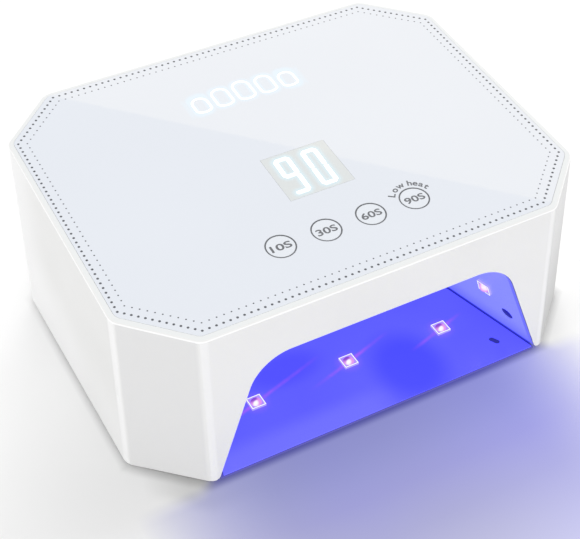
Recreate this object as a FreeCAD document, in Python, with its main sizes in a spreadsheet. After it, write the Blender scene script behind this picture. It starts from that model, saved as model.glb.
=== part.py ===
import FreeCAD, Part
import math
import os
import Sketcher
from FreeCAD import Placement, Rotation, Vector

# UV LED nail lamp. Millimetres. Origin at the centre of the footprint, on the surface that the
# rubber feet stand on. +X is the long side, -Y is the front with the hand opening, +Z is up.
# The top slopes down to the front. Pieces of the top are drawn flat in a frame of their own,
# whose z = 0 is the panel's glossy face, and then placed on that slope.

doc = FreeCAD.newDocument("nail_lamp")
sheet = doc.addObject("Spreadsheet::Sheet", "dims")

DIMS = [
    ("top_width", 210.0),        # across the flats of the top, along X
    ("top_depth", 159.94),       # across the flats of the top, along Y
    ("cut_along", 25.65),        # corner cut, measured along X
    ("cut_across", 24.38),       # corner cut, measured along Y
    ("centre_height", 84.04),    # top plane above the shell's bottom edge, at the middle
    ("top_slope", 4.686),        # degrees
    ("foot_lift", 0.6),          # how far the feet hold the shell off the table
    ("side_spread", 2.2),        # how much wider the shell is at the bottom, each side
    ("side_draft", 1.4995),      # degrees, the same draft as an angle
    ("wall", 2.2),
    ("top_wall", 2.1),
    ("corner_radius", 7.0),
    ("rim_width", 2.5),
    ("rim_drop", 0.45),
    ("recess_inset", 2.4),       # edge of the panel recess, just inside the bevel
    ("rim_radius", 1.0),
    ("lip_radius", 0.7),
    ("leg_radius", 3.0),
    ("panel_thick", 1.2),
    ("adhesive_thick", 0.3),
    ("panel_gap", 0.1),
    ("cave_half", 57.216),       # half width of the hand cavity at y = 0, z = 0
    ("cave_converge", 0.2464),   # loss of half width for each mm towards the back
    ("cave_lean", 0.36),         # loss of half width for each mm upwards
    ("cave_top", 57.3),          # ceiling of the hand cavity
    ("cave_back", 62.0),         # back wall of the hand cavity
    ("cave_radius", 19.0),
    ("liner_wall", 1.5),
    ("plate_thick", 1.0),
    ("flex_thick", 0.34),
    ("mirror_thick", 0.5),
    ("mirror_gap", 1.2),
    ("led_side", 6.5),
    ("led_stand", 0.9),          # LED package stands this far out of the liner
    ("led_recess", 0.35),
    ("led_board_thick", 1.6),
    ("key_diameter", 11.7),
    ("key_hole", 12.6),
    ("key_pitch", 20.43),
    ("key_row", -49.67),
    ("key_travel", 0.4),
    ("window_width", 30.0),
    ("window_depth", 27.6),
    ("window_row", -15.05),
    ("emblem_row", 43.15),
    ("emblem_width", 54.0),
    ("emblem_depth", 15.0),
    ("board_depth", 9.8),        # control board's upper face below the panel face
    ("board_thick", 1.6),
    ("column_radius", 4.0),
    ("column_along", 90.0),
    ("column_across", 60.0),
    ("screw_radius", 1.25),
    ("pilot_radius", 1.3),
    ("foot_radius", 6.0),
    ("jack_row", 71.0),
    ("jack_level", 15.0),
    ("jack_bore", 3.1),
    ("jack_pin", 1.0),
]
for row, (name, value) in enumerate(DIMS, start=1):
    sheet.set("A%d" % row, name)
    sheet.set("B%d" % row, "%.6f" % value)
    sheet.setAlias("B%d" % row, name)
doc.recompute()


class Size:
    """A length with the spreadsheet expression that gives it."""

    def __init__(self, value, text):
        self.value = float(value)
        self.text = text

    def __add__(self, other):
        o = size(other)
        return Size(self.value + o.value, "(%s + %s)" % (self.text, o.text))

    def __radd__(self, other):
        return size(other) + self

    def __sub__(self, other):
        o = size(other)
        return Size(self.value - o.value, "(%s - %s)" % (self.text, o.text))

    def __rsub__(self, other):
        return size(other) - self

    def __mul__(self, other):
        o = size(other)
        return Size(self.value * o.value, "(%s * %s)" % (self.text, o.text))

    def __rmul__(self, other):
        return size(other) * self

    def __truediv__(self, other):
        o = size(other)
        return Size(self.value / o.value, "(%s / %s)" % (self.text, o.text))

    def __neg__(self):
        return Size(-self.value, "(0 - %s)" % self.text)


def size(x):
    return x if isinstance(x, Size) else Size(x, "(%.6f)" % float(x))


D = {name: Size(value, "dims." + name) for name, value in DIMS}
NODES = []


def bind(obj, prop, value):
    value = size(value)
    obj.setExpression(prop, value.text)
    return value.value


def part(obj, label):
    obj.Label = label
    NODES.append(obj)
    return obj


# ---------------------------------------------------------------- drawing helpers

def plane_of(body, role):
    for feature in body.Origin.OriginFeatures:
        if feature.Role == role:
            return feature
    raise ValueError(role)


def new_body(name):
    return doc.addObject("PartDesign::Body", name)


def outline(body, name, points, plane="XY_Plane", depth=0.0, tilt=None):
    """Closed polygon sketch; every corner is held by two dimensions bound to the sheet."""
    sketch = body.newObject("Sketcher::SketchObject", name)
    sketch.AttachmentSupport = [(plane_of(body, plane), "")]
    sketch.MapMode = "FlatFace"
    depth = size(depth)
    sketch.AttachmentOffset = Placement(Vector(0, 0, depth.value), tilt or Rotation())
    sketch.setExpression("AttachmentOffset.Base.z", depth.text)
    points = [(size(x), size(y)) for x, y in points]
    count = len(points)
    for i in range(count):
        a, b = points[i], points[(i + 1) % count]
        sketch.addGeometry(Part.LineSegment(Vector(a[0].value, a[1].value, 0), Vector(b[0].value, b[1].value, 0)))
    for i in range(count):
        sketch.addConstraint(Sketcher.Constraint("Coincident", i, 2, (i + 1) % count, 1))
    for i, (x, y) in enumerate(points):
        for kind, axis, value, tag in (("DistanceX", -2, x, "across"), ("DistanceY", -1, y, "along")):
            if abs(value.value) < 1e-9:
                sketch.addConstraint(Sketcher.Constraint("PointOnObject", i, 1, axis))
            else:
                index = sketch.addConstraint(Sketcher.Constraint(kind, -1, 1, i, 1, value.value))
                label = "corner%d%s" % (i, tag)
                sketch.renameConstraint(index, label)
                sketch.setExpression("Constraints." + label, value.text)
    return sketch


def ring_sketch(body, name, circles, plane="XY_Plane", depth=0.0):
    """Circles, each (x, y, radius)."""
    sketch = body.newObject("Sketcher::SketchObject", name)
    sketch.AttachmentSupport = [(plane_of(body, plane), "")]
    sketch.MapMode = "FlatFace"
    depth = size(depth)
    sketch.AttachmentOffset = Placement(Vector(0, 0, depth.value), Rotation())
    sketch.setExpression("AttachmentOffset.Base.z", depth.text)
    for i, (x, y, radius) in enumerate(circles):
        x, y, radius = size(x), size(y), size(radius)
        sketch.addGeometry(Part.Circle(Vector(x.value, y.value, 0), Vector(0, 0, 1), radius.value))
        index = sketch.addConstraint(Sketcher.Constraint("Radius", i, radius.value))
        sketch.renameConstraint(index, "radius%d" % i)
        sketch.setExpression("Constraints.radius%d" % i, radius.text)
        for kind, axis, value, tag in (("DistanceX", -2, x, "across"), ("DistanceY", -1, y, "along")):
            if abs(value.value) < 1e-9:
                sketch.addConstraint(Sketcher.Constraint("PointOnObject", i, 3, axis))
            else:
                index = sketch.addConstraint(Sketcher.Constraint(kind, -1, 1, i, 3, value.value))
                sketch.renameConstraint(index, "centre%d%s" % (i, tag))
                sketch.setExpression("Constraints.centre%d%s" % (i, tag), value.text)
    return sketch


def pad(body, name, sketch, length, draft=None, reverse=False):
    feature = body.newObject("PartDesign::Pad", name)
    feature.Profile = sketch
    feature.Length = bind(feature, "Length", length)
    feature.Reversed = reverse
    if draft is not None:
        feature.TaperAngle = bind(feature, "TaperAngle", draft)
    doc.recompute()
    return feature


def pocket(body, name, sketch, length, reverse=False):
    before = body.Shape.Volume
    feature = body.newObject("PartDesign::Pocket", name)
    feature.Profile = sketch
    feature.Length = bind(feature, "Length", length)
    feature.Reversed = reverse
    doc.recompute()
    if not body.Shape.Volume < before - 1e-6:
        raise RuntimeError("the pocket %s cuts nothing" % name)
    return feature


def pick(shape, test):
    return ["Edge%d" % (i + 1) for i, e in enumerate(shape.Edges) if test(e)]


def ends(edge):
    first, last = edge.ParameterRange
    return [edge.valueAt(first), edge.valueAt((first + last) / 2.0), edge.valueAt(last)]


def fillet(body, name, radius, test, count=None):
    base = body.Tip
    names = pick(base.Shape, test)
    if not names or (count is not None and len(names) != count):
        raise RuntimeError("%s found %d edges" % (name, len(names)))
    feature = body.newObject("PartDesign::Fillet", name)
    feature.Base = (base, names)
    feature.Radius = bind(feature, "Radius", radius)
    doc.recompute()
    return feature


def prism(name, points, z0, thick, place=None):
    body = new_body(name)
    pad(body, name + "_pad", outline(body, name + "_outline", points, depth=z0), thick)
    if place is not None:
        body.Placement = place
    return body


def box(name, sizes, corner, place=None):
    feature = doc.addObject("Part::Box", name)
    for prop, value in zip(("Length", "Width", "Height"), sizes):
        setattr(feature, prop, bind(feature, prop, value))
    local = Placement(Vector(*[size(v).value for v in corner]), Rotation())
    feature.Placement = place.multiply(local) if place is not None else local
    return feature


def cylinder(name, radius, height, base, place=None, spin=None):
    feature = doc.addObject("Part::Cylinder", name)
    feature.Radius = bind(feature, "Radius", radius)
    feature.Height = bind(feature, "Height", height)
    local = Placement(Vector(*[size(v).value for v in base]), spin or Rotation())
    feature.Placement = place.multiply(local) if place is not None else local
    return feature


def cone(name, low, high, height, base, place=None):
    feature = doc.addObject("Part::Cone", name)
    feature.Radius1 = bind(feature, "Radius1", low)
    feature.Radius2 = bind(feature, "Radius2", high)
    feature.Height = bind(feature, "Height", height)
    local = Placement(Vector(*base), Rotation())
    feature.Placement = place.multiply(local) if place is not None else local
    return feature


def fuse(name, shapes):
    feature = doc.addObject("Part::MultiFuse", name)
    feature.Shapes = shapes
    return feature


def cut(name, base, tool):
    feature = doc.addObject("Part::Cut", name)
    feature.Base = base
    feature.Tool = tool
    return feature


def common(name, base, tool):
    feature = doc.addObject("Part::Common", name)
    feature.Base = base
    feature.Tool = tool
    return feature


def group(name, members):
    feature = doc.addObject("Part::Compound", name)
    feature.Links = members
    return feature


def octagon(half_x, half_y, cut_x, cut_y):
    return [
        (-(half_x - cut_x), -half_y), (half_x - cut_x, -half_y), (half_x, -(half_y - cut_y)), (half_x, half_y - cut_y),
        (half_x - cut_x, half_y), (-(half_x - cut_x), half_y), (-half_x, half_y - cut_y), (-half_x, -(half_y - cut_y)),
    ]


# a cut corner keeps its angles when the octagon is inset by w: each cut shrinks by these shares of w
SHARE_X, SHARE_Y = 0.6005, 0.571


# ---------------------------------------------------------------- reference planes

LIFT = D["foot_lift"].value
SLOPE = math.radians(D["top_slope"].value)
TILT = Rotation(Vector(1, 0, 0), D["top_slope"].value)
TOP = Placement(Vector(0, 0, D["centre_height"].value + LIFT), TILT)   # the panel's face
NORMAL = TILT.multVec(Vector(0, 0, 1))
DRAFT = D["side_spread"].value / D["centre_height"].value


def above_top(point):
    """Signed height of a point over the sloping top plane."""
    return (point - TOP.Base).dot(NORMAL)


def cave_half_at(y, z):
    return D["cave_half"] - D["cave_converge"] * y - D["cave_lean"] * z


# ---------------------------------------------------------------- housing shell

base_x = D["top_width"] / 2 + D["side_spread"]
base_y = D["top_depth"] / 2 + D["side_spread"]
base_cut_x = D["cut_along"] + D["side_spread"] * SHARE_X
base_cut_y = D["cut_across"] + D["side_spread"] * SHARE_Y

form = new_body("housing_form")
walls = pad(form, "housing_walls", outline(form, "housing_footprint", octagon(base_x, base_y, base_cut_x, base_cut_y), depth=D["foot_lift"]),
            D["centre_height"] + 14.0, draft=-D["side_draft"])
if form.Shape.BoundBox.XLength > 2 * base_x.value + 0.01:
    raise RuntimeError("the draft opens outwards")
fillet(form, "housing_corners", D["corner_radius"], lambda e: e.BoundBox.ZLength > 50, 8)
far = 150.0
pocket(form, "sloping_top", outline(form, "top_plane", [(-far, -far), (far, -far), (far, far), (-far, far)],
                                    depth=D["centre_height"] + D["foot_lift"], tilt=TILT), 40.0, reverse=True)

# shallow bevel that frames the panel, and the rounded outer edge
rim = form.newObject("PartDesign::Chamfer", "rim_bevel")
pocket_feature = doc.getObject("sloping_top")
rim.Base = (pocket_feature, pick(pocket_feature.Shape, lambda e: all(abs(above_top(p)) < 1e-4 for p in ends(e))))
rim.ChamferType = "Two distances"
rim.Size = bind(rim, "Size", D["rim_width"])
rim.Size2 = bind(rim, "Size2", D["rim_drop"])
doc.recompute()


def top_face_width(shape):
    widths = [f.BoundBox.XLength for f in shape.Faces
              if abs(above_top(f.CenterOfMass)) < 1e-3 and abs(f.normalAt(0, 0).dot(NORMAL)) > 0.9999]
    return max(widths)


if abs(top_face_width(rim.Shape) - (D["top_width"].value - 2 * D["rim_width"].value)) > 1.0:
    rim.FlipDirection = True
    doc.recompute()
if abs(top_face_width(rim.Shape) - (D["top_width"].value - 2 * D["rim_width"].value)) > 1.0:
    raise RuntimeError("rim bevel width %.3f" % top_face_width(rim.Shape))
fillet(form, "rim_edge", D["rim_radius"],
       lambda e: all(abs(above_top(p) + D["rim_drop"].value) < 0.03 for p in ends(e)))

# outline of the recess that takes the panel and its adhesive
ri = D["recess_inset"]
panel_x = D["top_width"] / 2 - ri
panel_y = (D["top_depth"] / 2 - ri) / math.cos(SLOPE)
panel_cut_x = D["cut_along"] - ri * SHARE_X
panel_cut_y = (D["cut_across"] - ri * SHARE_Y) / math.cos(SLOPE)
seat = D["panel_thick"] + D["adhesive_thick"]

# hand opening: the front end of the converging cavity, cut through the front wall
def cave_section(y, top, low, grow=0.0):
    lower, upper = cave_half_at(y, low) + grow, cave_half_at(y, top) + grow
    return [(-lower, low), (lower, low), (upper, top), (-upper, top)]


front_y, inner_y = -95.0, -62.0
near_section = outline(form, "opening_front", cave_section(front_y, D["cave_top"], -3.0), plane="XZ_Plane", depth=-front_y)
far_section = outline(form, "opening_inner", cave_section(inner_y, D["cave_top"], -3.0), plane="XZ_Plane", depth=-inner_y)
doc.recompute()
opening = form.newObject("PartDesign::SubtractiveLoft", "hand_opening")
opening.Profile = near_section
opening.Sections = [(far_section, [""])]
opening.Ruled = True
doc.recompute()
fillet(form, "opening_corners", D["cave_radius"],
       lambda e: all(abs(p.z - D["cave_top"].value) < 1e-3 for p in ends(e)) and abs(ends(e)[2].y - ends(e)[0].y) > 10, 2)
fillet(form, "leg_ends", D["leg_radius"],
       lambda e: all(abs(p.z - LIFT) < 1e-3 and 60 < abs(p.x) < 85 for p in ends(e)) and abs(ends(e)[2].y - ends(e)[0].y) > 10, 2)


def on_front(p):
    return abs(p.y + base_y.value - DRAFT * (p.z - LIFT)) < 2e-3


fillet(form, "opening_lip", D["lip_radius"],
       lambda e: all(on_front(p) and abs(p.x) < 79.5 and p.z < 60 for p in ends(e))
       and not all(abs(p.z - LIFT) < 1e-3 for p in ends(e)))

# inside of the shell
core = new_body("housing_core")
below = 2.0
core_x = base_x + DRAFT * below
core_y = base_y + DRAFT * below
w = D["wall"]
pad(core, "core_walls", outline(core, "core_footprint", octagon(core_x - w, core_y - w, base_cut_x - w * SHARE_X, base_cut_y - w * SHARE_Y),
                                depth=D["foot_lift"] - below), D["centre_height"] + 14.0 + below, draft=-D["side_draft"])
fillet(core, "core_corners", D["corner_radius"] - w, lambda e: e.BoundBox.ZLength > 50, 8)
roof = outline(core, "core_roof_plane", [(-far, -far), (far, -far), (far, far), (-far, far)], tilt=TILT, depth=0.0)
roof.AttachmentOffset = Placement(TOP.Base - NORMAL * (seat + D["top_wall"]).value, TILT)
roof.setExpression("AttachmentOffset.Base.z", None)
pocket(core, "core_roof", roof, 40.0, reverse=True)

shell = cut("housing_shell", form, core)

# columns for the base screws and bosses for the control board, moulded with the shell
additions = []
for sx in (-1, 1):
    for sy, top_z in ((-1, 77.2), (1, 87.0)):
        additions.append(cylinder("column_%s%s" % ("l" if sx < 0 else "r", "f" if sy < 0 else "b"), D["column_radius"],
                                  top_z - LIFT - D["plate_thick"], (sx * D["column_along"].value, sy * D["column_across"].value, LIFT + D["plate_thick"].value)))
BOSSES = [(-41.0, -40.0), (41.0, -40.0), (-41.0, 52.0), (41.0, 52.0)]
for i, (bx, by) in enumerate(BOSSES):
    additions.append(cylinder("board_boss_%d" % (i + 1), 3.0, D["board_depth"] - 2.5, (bx, by, -D["board_depth"].value), TOP))
shell_full = fuse("housing_with_posts", [shell] + additions)

recess = new_body("panel_recess")
pad(recess, "recess_pad", outline(recess, "recess_outline", octagon(panel_x, panel_y, panel_cut_x, panel_cut_y), depth=-seat), seat + 5.0)
fillet(recess, "recess_corners", D["corner_radius"] - ri, lambda e: e.BoundBox.ZLength > 6, 8)
recess.Placement = TOP
removals = [recess]
KEYS = [("key_10s", -1.5), ("key_30s", -0.5), ("key_60s", 0.5), ("key_90s", 1.5)]
for label, place in KEYS:
    removals.append(cylinder(label + "_well", 7.8, 6.0, (D["key_pitch"].value * place, D["key_row"].value, -5.0), TOP))
removals.append(box("display_well", (D["window_width"] + 1.4, D["window_depth"] + 1.4, 6.0),
                    (-D["window_width"].value / 2 - 0.7, D["window_row"].value - D["window_depth"].value / 2 - 0.7, -5.0), TOP))
removals.append(box("emblem_well", (D["emblem_width"] + 1.0, D["emblem_depth"] + 1.0, 6.0),
                    (-D["emblem_width"].value / 2 - 0.5, D["emblem_row"].value - D["emblem_depth"].value / 2 - 0.5, -5.0), TOP))
for sx in (-1, 1):
    for sy in (-1, 1):
        removals.append(cylinder("column_pilot_%d%d" % (sx + 1, sy + 1), D["pilot_radius"], 12.0,
                                 (sx * D["column_along"].value, sy * D["column_across"].value, LIFT)))
for i, (bx, by) in enumerate(BOSSES):
    removals.append(cylinder("boss_pilot_%d" % (i + 1), 1.0, 5.0, (bx, by, -D["board_depth"].value - 0.5), TOP))
removals.append(cylinder("jack_hole", 4.4, 8.0, (D["jack_row"].value, 76.0, D["jack_level"].value), spin=Rotation(Vector(1, 0, 0), -90)))
for i in range(9):
    removals.append(box("vent_slot_%d" % (i + 1), (2.2, 8.0, 16.0), (-25.1 + 6.0 * i, 76.0, 56.0)))
housing = cut("housing_solid", shell_full, fuse("housing_openings", removals))
part(housing, "housing")

# ---------------------------------------------------------------- panel, window and adhesive

g = D["panel_gap"]
panel_blank = new_body("panel_blank")
pad(panel_blank, "panel_sheet", outline(panel_blank, "panel_outline", octagon(panel_x - g, panel_y - g, panel_cut_x - g * SHARE_X, panel_cut_y - g * SHARE_Y),
                                        depth=-D["panel_thick"]), D["panel_thick"])
fillet(panel_blank, "panel_corners", D["corner_radius"] - ri - g,
       lambda e: abs(e.BoundBox.ZLength - D["panel_thick"].value) < 1e-6, 8)
pocket(panel_blank, "key_holes", ring_sketch(panel_blank, "key_hole_circles",
                                             [(D["key_pitch"] * k, D["key_row"], D["key_hole"] / 2) for _, k in KEYS], depth=1.0), 4.0)
win_x, win_y = D["window_width"] / 2, D["window_depth"] / 2
pocket(panel_blank, "window_hole", outline(panel_blank, "window_hole_outline",
                                           [(-win_x, D["window_row"] - win_y), (win_x, D["window_row"] - win_y),
                                            (win_x, D["window_row"] + win_y), (-win_x, D["window_row"] + win_y)], depth=1.0), 4.0)
panel_blank.Placement = TOP
part(panel_blank, "top_panel")

wg = 0.08
window = prism("window_insert", [(-win_x + wg, D["window_row"] - win_y + wg), (win_x - wg, D["window_row"] - win_y + wg),
                                 (win_x - wg, D["window_row"] + win_y - wg), (-win_x + wg, D["window_row"] + win_y - wg)],
               -D["panel_thick"], D["panel_thick"], TOP)
part(window, "display_window")

film = new_body("adhesive_film")
pad(film, "film_sheet", outline(film, "film_outline", octagon(panel_x - 0.8, panel_y - 0.8, panel_cut_x - 0.8 * SHARE_X, panel_cut_y - 0.8 * SHARE_Y),
                                depth=-seat), D["adhesive_thick"])
fillet(film, "film_corners", 3.7, lambda e: abs(e.BoundBox.ZLength - D["adhesive_thick"].value) < 1e-6, 8)
pocket(film, "film_key_holes", ring_sketch(film, "film_key_circles", [(D["key_pitch"] * k, D["key_row"], 8.0) for _, k in KEYS], depth=0.0), 4.0)
pocket(film, "film_window", outline(film, "film_window_outline",
                                    [(-win_x - 0.3, D["window_row"] - win_y + 0.6), (win_x + 0.3, D["window_row"] - win_y + 0.6),
                                     (win_x + 0.3, D["window_row"] + win_y - 0.6), (-win_x - 0.3, D["window_row"] + win_y - 0.6)], depth=0.0), 4.0)
em_x, em_y = D["emblem_width"] / 2, D["emblem_depth"] / 2
pocket(film, "film_emblem", outline(film, "film_emblem_outline",
                                    [(-em_x, D["emblem_row"] - em_y), (em_x, D["emblem_row"] - em_y),
                                     (em_x, D["emblem_row"] + em_y), (-em_x, D["emblem_row"] + em_y)], depth=0.0), 4.0)
film.Placement = TOP
part(film, "panel_adhesive")

# ---------------------------------------------------------------- timer keys, one stack for each

for label, k in KEYS:
    kx, ky = (D["key_pitch"] * k).value, D["key_row"].value
    # flush cap, retaining flange under the panel, stem on the switch
    body = new_body(label + "_cap")
    pad(body, label + "_flange", ring_sketch(body, label + "_flange_circle", [(0, 0, 7.3)], depth=-2.2), 0.9)
    pad(body, label + "_face", ring_sketch(body, label + "_face_circle", [(0, 0, D["key_diameter"] / 2)], depth=-1.3), 1.3)
    fillet(body, label + "_edge", 0.15, lambda e: abs(e.BoundBox.ZMax) < 1e-6 and abs(e.BoundBox.ZMin) < 1e-6, 1)
    pad(body, label + "_stem", ring_sketch(body, label + "_stem_circle", [(0, 0, 1.8)], depth=-4.2), 2.0)
    body.Placement = TOP.multiply(Placement(Vector(kx, ky, 0), Rotation()))
    part(body, label)
    plunger = cylinder(label + "_plunger_solid", 1.7, 3.75, (kx, ky, -7.95), TOP)
    part(plunger, "plunger_" + label.split("_")[1])

# ---------------------------------------------------------------- control board and what it carries

bt = D["board_depth"]
board_blank = prism("control_board_blank", [(-47, -58), (47, -58), (47, 58), (-47, 58)], -bt - D["board_thick"], D["board_thick"], TOP)
board_holes = [cylinder("board_hole_%d" % (i + 1), 1.2, 4.0, (bx, by, -bt.value - 3.0), TOP) for i, (bx, by) in enumerate(BOSSES)]
PINS = [(-10.16 + 5.08 * i, sy) for i in range(5) for sy in (-1, 1)]
for i, (px, sy) in enumerate(PINS):
    board_holes.append(cylinder("pin_hole_%d" % (i + 1), 0.45, 4.0, (px, D["window_row"].value + sy * 11.5, -bt.value - 3.0), TOP))
part(cut("control_board_solid", board_blank, fuse("control_board_holes", board_holes)), "control_board")

module = box("display_module_solid", (30.0, 27.4, D["board_depth"] - 1.9), (-15.0, D["window_row"].value - 13.7, -bt.value), TOP)
part(module, "display_module")
part(group("display_pin_set", [cylinder("display_pin_%d" % (i + 1), 0.25, 3.2, (px, D["window_row"].value + sy * 11.5, -bt.value - 3.2), TOP)
                               for i, (px, sy) in enumerate(PINS)]), "display_pins")

# seven bars for each of the two digits, lying on the module's face
bars = []
DIGITS = [(-7.2, "tens"), (5.9, "units")]
for cx, tag in DIGITS:
    half, tall, stroke = 3.4, 20.6, 1.5
    mid = D["window_row"].value
    plan = {
        "a": (cx - half + 1.7, mid + tall / 2 - stroke, 2 * half - 3.4, stroke),
        "d": (cx - half + 1.7, mid - tall / 2, 2 * half - 3.4, stroke),
        "g": (cx - half + 1.7, mid - stroke / 2, 2 * half - 3.4, stroke),
        "f": (cx - half, mid + 0.9, stroke, tall / 2 - 1.0),
        "b": (cx + half - stroke, mid + 0.9, stroke, tall / 2 - 1.0),
        "e": (cx - half, mid - tall / 2 + 0.1, stroke, tall / 2 - 1.0),
        "c": (cx + half - stroke, mid - tall / 2 + 0.1, stroke, tall / 2 - 1.0),
    }
    for key in sorted(plan):
        x0, y0, lx, ly = plan[key]
        bars.append(box("bar_%s_%s" % (tag, key), (lx, ly, 0.2), (x0, y0, -1.9), TOP))
part(group("segment_set", bars), "display_segments")

bases, covers, domes = [], [], []
for i, (label, k) in enumerate(KEYS):
    kx, ky = (D["key_pitch"] * k).value, D["key_row"].value
    blank = box("switch_blank_%d" % (i + 1), (6.0, 6.0, 3.5), (kx - 3.0, ky - 3.0, -bt.value), TOP)
    bore = cylinder("switch_bore_%d" % (i + 1), 1.8, 3.5, (kx, ky, -8.6), TOP)
    bases.append(cut("switch_base_%d" % (i + 1), blank, bore))
    plate = box("cover_blank_%d" % (i + 1), (6.0, 6.0, 0.3), (kx - 3.0, ky - 3.0, -bt.value + 3.5), TOP)
    hole = cylinder("cover_bore_%d" % (i + 1), 1.8, 1.0, (kx, ky, -bt.value + 3.2), TOP)
    covers.append(cut("switch_cover_%d" % (i + 1), plate, hole))
    domes.append(cylinder("switch_dome_%d" % (i + 1), 1.75, 0.15, (kx, ky, -8.6), TOP))
part(group("switch_base_set", bases), "switch_bases")
part(group("switch_cover_set", covers), "switch_covers")
part(group("switch_dome_set", domes), "switch_domes")

guide_outer = box("guide_outer", (52.0, 13.0, D["board_depth"] - 1.7), (-26.0, D["emblem_row"].value - 6.5, -bt.value), TOP)
guide_inner = box("guide_inner", (50.0, 11.0, 4.0), (-25.0, D["emblem_row"].value - 5.5, -bt.value - 1.0), TOP)
part(cut("guide_solid", guide_outer, guide_inner), "emblem_light_guide")
part(group("emblem_lamp_set", [box("emblem_lamp_%d" % (i + 1), (3.5, 2.8, 0.9), (-21.75 + 10.0 * i, D["emblem_row"].value - 1.4, -bt.value), TOP)
                               for i in range(5)]), "emblem_lamps")
part(box("control_chip_solid", (10.3, 7.5, 2.3), (-5.15, 12.0, -bt.value), TOP), "control_chip")
small = [("r1", 14, 14), ("r2", 14, 18), ("r3", -18, 14), ("r4", -18, 18), ("r5", 24, -30), ("r6", -26, -30), ("r7", 24, 26), ("r8", -26, 26)]
part(group("small_part_set", [box("small_part_" + t, (3.2, 1.6, 0.8), (sx, sy, -bt.value), TOP) for t, sx, sy in small]), "control_small_parts")
part(box("ribbon_socket_solid", (14.0, 5.0, 5.5), (24.0, 4.0, -bt.value - D["board_thick"].value - 5.5), TOP), "ribbon_socket")

screws = []
for i, (bx, by) in enumerate(BOSSES):
    low = -bt.value - D["board_thick"].value
    head = cylinder("board_screw_head_%d" % (i + 1), 2.0, 1.4, (bx, by, low - 1.4), TOP)
    shank = cylinder("board_screw_shank_%d" % (i + 1), 0.95, 5.6, (bx, by, low), TOP)
    screws.append(fuse("board_screw_%d" % (i + 1), [head, shank]))
part(group("board_screw_set", screws), "control_board_screws")

# ---------------------------------------------------------------- reflector liner of the hand cavity

NORM = math.sqrt(1.0 + D["cave_converge"].value ** 2 + D["cave_lean"].value ** 2)
SPREAD = D["liner_wall"] * NORM


def tunnel(name, grow, low, top, rear, radius, rear_radius):
    """Converging hand cavity: a block with its two sides cut back to the leaning wall planes."""
    body = new_body(name)
    low, top, rear, grow = size(low), size(top), size(rear), size(grow)
    pad(body, name + "_block", outline(body, name + "_plan", [(-92.0, -95.0), (92.0, -95.0), (92.0, rear), (-92.0, rear)], depth=low), top - low)
    for sign, side in ((-1, "left"), (1, "right")):
        out = Vector(sign * 1.0, D["cave_converge"].value, D["cave_lean"].value).normalize()
        turn = Rotation(Vector(0, 0, 1), out)
        plane = outline(body, name + "_%s_plane" % side, [(-250, -250), (250, -250), (250, 250), (-250, 250)], tilt=turn)
        half = D["cave_half"] + grow
        plane.AttachmentOffset = Placement(Vector(sign * half.value, 0, 0), turn)
        plane.setExpression("AttachmentOffset.Base.z", None)
        plane.setExpression("AttachmentOffset.Base.x", half.text if sign > 0 else (-half).text)
        pocket(body, name + "_%s_side" % side, plane, 160.0, reverse=True)
    fillet(body, name + "_corners", radius,
           lambda e: all(abs(p.z - top.value) < 1e-3 for p in ends(e)) and abs(ends(e)[2].y - ends(e)[0].y) > 10, 2)
    fillet(body, name + "_rear_edge", rear_radius,
           lambda e: all(abs(p.y - rear.value) < 1e-3 for p in ends(e)) and not all(abs(p.z - low.value) < 1e-3 for p in ends(e)))
    return body


cave = tunnel("cave_form", 0.0, -3.0, D["cave_top"], D["cave_back"], D["cave_radius"], 8.0)
floor_z = D["foot_lift"] + D["plate_thick"]
back_y = D["cave_back"] + D["liner_wall"]
skin = tunnel("liner_form", SPREAD, floor_z, D["cave_top"] + D["liner_wall"], back_y, D["cave_radius"] + D["liner_wall"], 9.5)

LINER_BOSSES = [(-75.6, -60.0), (75.6, -60.0), (-49.6, 45.0), (49.6, 45.0)]
liner_posts = [cylinder("liner_boss_%d" % (i + 1), 3.5, 10.4, (bx, by, floor_z.value)) for i, (bx, by) in enumerate(LINER_BOSSES)]
liner_outside = common("liner_trimmed", fuse("liner_with_bosses", [skin] + liner_posts), core)

# frames of the LEDs: local z points into the cavity, origin on the board's face behind the liner
s1 = floor_z.value + D["flex_thick"].value
CEILING = [(-30.0, -52.0), (0.0, -52.0), (30.0, -52.0), (-19.0, -14.0), (0.0, -14.0), (19.0, -14.0), (-9.0, 20.0), (9.0, 20.0)]
FLOOR = [(-46.3, -53.5), (0.0, -51.5), (46.3, -53.5), (-27.0, 4.0), (27.0, 4.0)]
flip = Rotation(Vector(1, 0, 0), 180)
ceiling_frames = [Placement(Vector(x, y, (D["cave_top"] + D["liner_wall"]).value), flip) for x, y in CEILING]
floor_frames = [Placement(Vector(x, y, s1), Rotation()) for x, y in FLOOR]
SIDE_Y, SIDE_Z = -60.9, 26.6


def side_frame(sign, along, lift=0.0, y=SIDE_Y, z=SIDE_Z):
    """Frame on a side wall: origin on the liner's outer face, x towards the back, z into the cavity."""
    out = Vector(sign * 1.0, D["cave_converge"].value, D["cave_lean"].value).normalize()
    run = Vector(-sign * D["cave_converge"].value, 1.0, 0.0).normalize()
    start = Vector(sign * cave_half_at(y, z).value, y, z)
    inward = out * -1.0
    return Placement(start + run * along + out * (D["liner_wall"].value + lift), Rotation(run, inward.cross(run), inward, "ZXY"))


SIDE_STEPS = [0.0, 30.0, 60.0, 90.0]
side_frames = {sign: [side_frame(sign, step) for step in SIDE_STEPS] for sign in (-1, 1)}

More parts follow.
